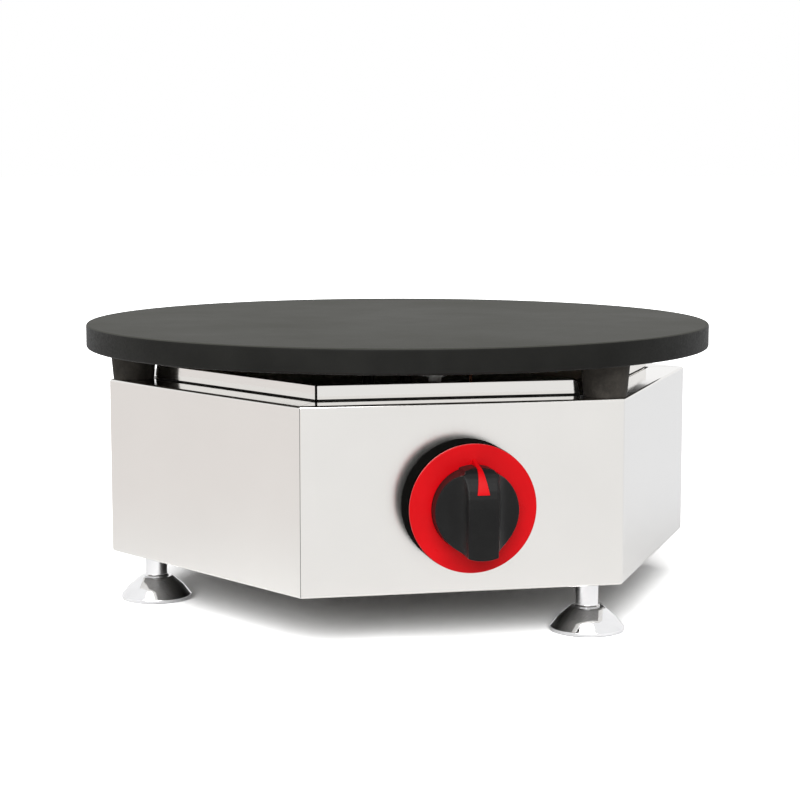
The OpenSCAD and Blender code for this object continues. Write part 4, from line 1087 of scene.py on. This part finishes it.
class CREPE_OT_feet(PieceOperator, bpy.types.Operator):
    """Press the foot cups, mould their pads and turn their threaded stems"""
    bl_idname = "crepe.feet"
    bl_label = "Levelling feet"

    def execute(self, context):
        foot = context.scene.crepe_feet
        cup, pad, stem = self.cup(foot), self.pad(foot), self.stem(foot)
        for side in SIDES:
            place = Matrix.Translation(plan_centre(f"foot_stem_{side}"))
            for first, part, body, slot in ((cup, "cup", "foot_cup", "foot_chrome"),
                                            (pad, "pad", "foot_cup", "black_rubber"),
                                            (stem, "stem", "foot_stem", "foot_chrome")):
                piece = copied(first, f"{part}_{side}", place)
                finished(piece, f"{body}_{side}", slot, f"foot_{part}_{side}")
        for first in (cup, pad, stem):
            only(first)
            bpy.ops.object.delete()
        return {"FINISHED"}

    def cup(self, foot):
        """A pressed bell with a rolled rim and a bore for the stem's rivet."""
        bore, mouth = foot.rivet + 0.05 * MM, foot.rim - 3.6 * MM
        band_top, inner_top = foot.lift + 1.9 * MM, foot.height - foot.wall
        bell_reach, bell_height = foot.rim - 4.6 * MM, foot.height - 6.4 * MM
        outline = filleted([(mouth, foot.lift), (foot.rim, foot.lift, 0.6 * MM),
                            (foot.rim, band_top, 0.9 * MM), (bell_reach, bell_height, foot.bell),
                            (foot.top + 0.6 * MM, foot.height - 0.8 * MM, 1.6 * MM),
                            (foot.top - 0.6 * MM, foot.height, 1 * MM), (bore, foot.height, 0.2 * MM),
                            (bore, inner_top), (foot.top - 1.8 * MM, inner_top, 1 * MM)], steps=6)
        return smoothed(turned("cup", outline, steps=96), 40)

    def pad(self, foot):
        """A flat rubber ring that fills the cup's mouth and stands on the ground."""
        radius, thick = foot.rim - 3.7 * MM, 2 * MM
        inner = radius - 8 * MM
        outline = filleted([(inner, 0, 0.4 * MM), (radius - 0.6 * MM, 0, 0.4 * MM),
                            (radius, foot.lift, 0.3 * MM), (radius - 1.2 * MM, thick, 0.3 * MM),
                            (inner, thick, 0.3 * MM)])
        return smoothed(turned("pad", outline, steps=96), 35)

    def stem(self, foot):
        """Rivet end, flared foot, smooth stem, shoulder and thread, from the bottom up."""
        low = foot.height + foot.play
        head = foot.height - foot.wall - foot.play
        head_low, head_reach = head - 2 * MM, foot.rivet + 1.5 * MM
        flare, flare_edge, flare_top = foot.stem + 1 * MM, low + 0.3 * MM, low + 1.2 * MM
        shoulder = HOUSING_LOW.z + 3 * MM
        root, top = foot.thread - foot.thread_depth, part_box("foot_stem_left")[1].z
        start, end = shoulder + foot.pitch, top - foot.pitch
        points_per_turn = 6
        count = round((end - start) / foot.pitch * points_per_turn)
        thread = [(foot.thread, start + (end - start) * i / count) for i in range(count + 1)]
        outline = filleted([(0, head_low), (head_reach, head_low, 0.8 * MM), (head_reach, head),
                            (foot.rivet, head), (foot.rivet, low), (flare, low), (flare, flare_edge),
                            (foot.stem, flare_top, 0.6 * MM), (foot.stem, shoulder, 0.6 * MM),
                            (root, shoulder)], closed=False)
        outline += [(root, start - 0.5 * foot.pitch)] + thread + [(root, top), (0, top)]
        piece = turned("stem", outline, steps=48, closed=False)
        self.cut_thread(piece, foot, start - TINY, end + TINY)
        return smoothed(piece, 32)

    def cut_thread(self, piece, foot, start, end):
        """Sinks each point of the thread by how far it lies from the crest of the helix."""
        for vertex in piece.data.vertices:
            place = vertex.co
            reach = place.to_2d().length
            if start <= place.z <= end and reach > foot.thread - 0.2 * MM:
                turn = place.z / foot.pitch - atan2(place.y, place.x) / tau
                depth = abs(2 * (turn % 1) - 1) * foot.thread_depth
                place.xy = place.xy * (reach - depth) / reach


class CREPE_OT_gland(PieceOperator, bpy.types.Operator):
    """Mould the cable gland's body and cap"""
    bl_idname = "crepe.gland"
    bl_label = "Cable gland"

    def execute(self, context):
        gland = context.scene.crepe_gland
        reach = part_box("gland_cap")[1].y - HOUSING_HIGH.y
        for piece, node in ((self.body(gland), "gland_body"), (self.cap(gland, reach), "gland_cap")):
            placed(piece, on_rear())
            smoothed(piece, 32)
            finished(piece, "appliance", "black_plastic", node)
        return {"FINISHED"}

    def nut(self, name, flats, low, high):
        """A hexagon with its upper corners turned off."""
        chamfer = 0.3 * MM
        piece = rod(name, flats / 2 / COS_30, low, high, 6)
        bevelled(piece, upright, 0.8 * MM, 3)
        cone = turned("cone", [(0, low - MM), (flats, low - MM), (flats, high - flats / 2 + chamfer),
                               (flats / 2 - chamfer, high), (0, high)], steps=96, closed=False)
        return combined(piece, cone, "INTERSECT")

    def body(self, gland):
        """A threaded tube with a hexagonal flange outside the panel."""
        inner_end, outer_end, beyond = -12 * MM, gland.flange + 8 * MM, 20 * MM
        piece = self.nut("gland_body_moulding", gland.body_flats, 0, gland.flange)
        combined(piece, rod("thread", gland.thread, inner_end, outer_end, 64), "UNION")
        cut(piece, rod("bore", gland.hole, inner_end - MM, beyond, 48),
            rod("seat", gland.seal, 2 * MM, beyond, 64))
        return piece

    def cap(self, gland, reach):
        """A hexagonal nut with a domed end."""
        low = gland.flange + 1 * MM
        collar = low + gland.cap_hexagon
        thread_end, seat_end, dome_round = low + 8 * MM, low + 12.4 * MM, 7 * MM
        piece = self.nut("gland_cap_moulding", gland.cap_flats, low, collar)
        dome = filleted([(0, collar - MM), (gland.dome, collar - MM), (gland.dome, reach, dome_round),
                         (0, reach)], closed=False, steps=8)
        combined(piece, turned("dome", dome, steps=96, closed=False), "UNION")
        cut(piece, rod("bore", gland.thread + 0.05 * MM, low - MM, thread_end, 64),
            rod("seat", gland.seal, low - MM, seat_end, 64),
            rod("mouth", gland.mouth, low - MM, reach + MM, 64))
        shaped(piece, "BEVEL", width=0.3 * MM, segments=2, limit_method="ANGLE", angle_limit=radians(50))
        return piece


# ---- studio

class CREPE_OT_studio(PieceOperator, bpy.types.Operator):
    """Set up the floor, the lights, the world and the camera"""
    bl_idname = "crepe.studio"
    bl_label = "Studio"

    def execute(self, context):
        studio = context.scene.crepe_studio
        context.scene.view_settings.view_transform = "Standard"
        self.camera(context.scene, studio)
        self.floor()
        self.world(context.scene, studio)
        self.sun(studio)
        return {"FINISHED"}

    def camera(self, scene, studio):
        a, e = studio.azimuth, studio.elevation
        back = Vector((sin(a) * cos(e), -cos(a) * cos(e), sin(e)))
        bpy.ops.object.camera_add(location=Vector(studio.target) + back * studio.distance,
                                  rotation=(-back).to_track_quat("-Z", "Y").to_euler())
        camera = bpy.context.active_object
        camera.data.sensor_width = 36
        camera.data.lens = studio.lens
        camera.data.clip_start = 0.01
        camera.data.clip_end = 100
        scene.camera = camera

    def floor(self):
        """A pale floor with a painted reflection: its mirror image in the steel is a little darker to the
        left and right.
        """
        bpy.ops.mesh.primitive_circle_add(vertices=96, radius=30, fill_type="NGON")
        floor = named("studio_floor")
        paper, seen = (0.96, 0.96, 0.96), (2.1, 2.1, 2.1)
        warm, cool = (0.9, 0.87, 0.86), (0.9, 0.91, 0.93)
        s = Surface("floor_paper", paper, roughness=1.0, specular=0.0)
        # Painted reflection: the mirror image darkens between two distances from the middle, in metres, on
        # either side
        axes = s.add("ShaderNodeSeparateXYZ", {"Vector": s.place})
        left = s.range(axes.outputs["X"], 0, 1, -0.25, -0.55)
        right = s.range(s.vector("DOT_PRODUCT", s.place, (0.75, 0.66, 0))["Value"], 0, 1, 0.05, 0.45)
        painted_reflection = s.mixed(right, s.mixed(left, paper, warm), cool)
        path = s.add("ShaderNodeLightPath").outputs
        bright = s.mixed(path["Is Camera Ray"], paper, seen)
        s.give(s.shader["Base Color"], s.mixed(path["Is Glossy Ray"], bright, painted_reflection))
        floor.data.materials.append(s.material)

    def world(self, scene, studio):
        """White for what the camera, metal and glass see, and a plain ambient light for the rest."""
        scene.world = bpy.data.worlds.new("studio_world")
        tree = Tree(scene.world)
        white = (1, 1, 1, 1)
        ambient = tree.nodes["Background"]
        tree.give(ambient.inputs["Strength"], studio.ambient)
        tree.give(ambient.inputs["Color"], white)
        seen = tree.add("ShaderNodeBackground", {"Color": white})
        path = tree.add("ShaderNodeLightPath").outputs
        straight = tree.sum(path["Is Camera Ray"], path["Is Glossy Ray"], "MAXIMUM")
        straight = tree.sum(straight, path["Is Transmission Ray"], "MAXIMUM")
        mix = tree.add("ShaderNodeMixShader", {0: straight, 1: ambient.outputs[0], 2: seen.outputs[0]})
        tree.give(tree.nodes["World Output"].inputs["Surface"], mix.outputs[0])

    def sun(self, studio):
        """A broad soft light from the front, high on the left."""
        tilt, turn, spread = radians(46), radians(-20), radians(60)
        bpy.ops.object.light_add(type="SUN", rotation=(tilt, 0, turn))
        sun = bpy.context.active_object
        sun.data.energy = studio.sun
        sun.data.angle = spread


# ---- add-on

PIECES = (CREPE_OT_finishes, CREPE_OT_griddle, CREPE_OT_heating, CREPE_OT_housing, CREPE_OT_pan,
          CREPE_OT_bezel, CREPE_OT_skirt, CREPE_OT_grip, CREPE_OT_pointer, CREPE_OT_feet, CREPE_OT_gland)


class CREPE_PT_panel(bpy.types.Panel):
    """Lists the sizes and the operators"""
    bl_idname = "CREPE_PT_panel"
    bl_label = "Crepe maker"
    bl_space_type = "VIEW_3D"
    bl_region_type = "UI"
    bl_category = "Crepe maker"

    def draw(self, context):
        for operator in (*PIECES, CREPE_OT_studio):
            self.layout.operator(operator.bl_idname)
        for name, group in SETTINGS.items():
            box = self.layout.box()
            box.label(text=group.__doc__)
            for prop in group.__annotations__:
                box.prop(getattr(context.scene, name), prop)


CLASSES = (*SETTINGS.values(), *PIECES, CREPE_OT_studio, CREPE_PT_panel)


def register():
    for cls in CLASSES:
        bpy.utils.register_class(cls)
    for name, group in SETTINGS.items():
        setattr(bpy.types.Scene, name, PointerProperty(type=group))


def unregister():
    for name in SETTINGS:
        delattr(bpy.types.Scene, name)
    for cls in reversed(CLASSES):
        bpy.utils.unregister_class(cls)


def main():
    register()
    bpy.ops.crepe.studio()
    bpy.ops.crepe.finishes()
    bpy.ops.crepe.griddle()
    bpy.ops.crepe.heating()
    bpy.ops.crepe.housing()
    bpy.ops.crepe.pan()
    bpy.ops.crepe.bezel()
    bpy.ops.crepe.skirt()
    bpy.ops.crepe.grip()
    bpy.ops.crepe.pointer()
    bpy.ops.crepe.feet()
    bpy.ops.crepe.gland()


if __name__ == "__main__":
    main()
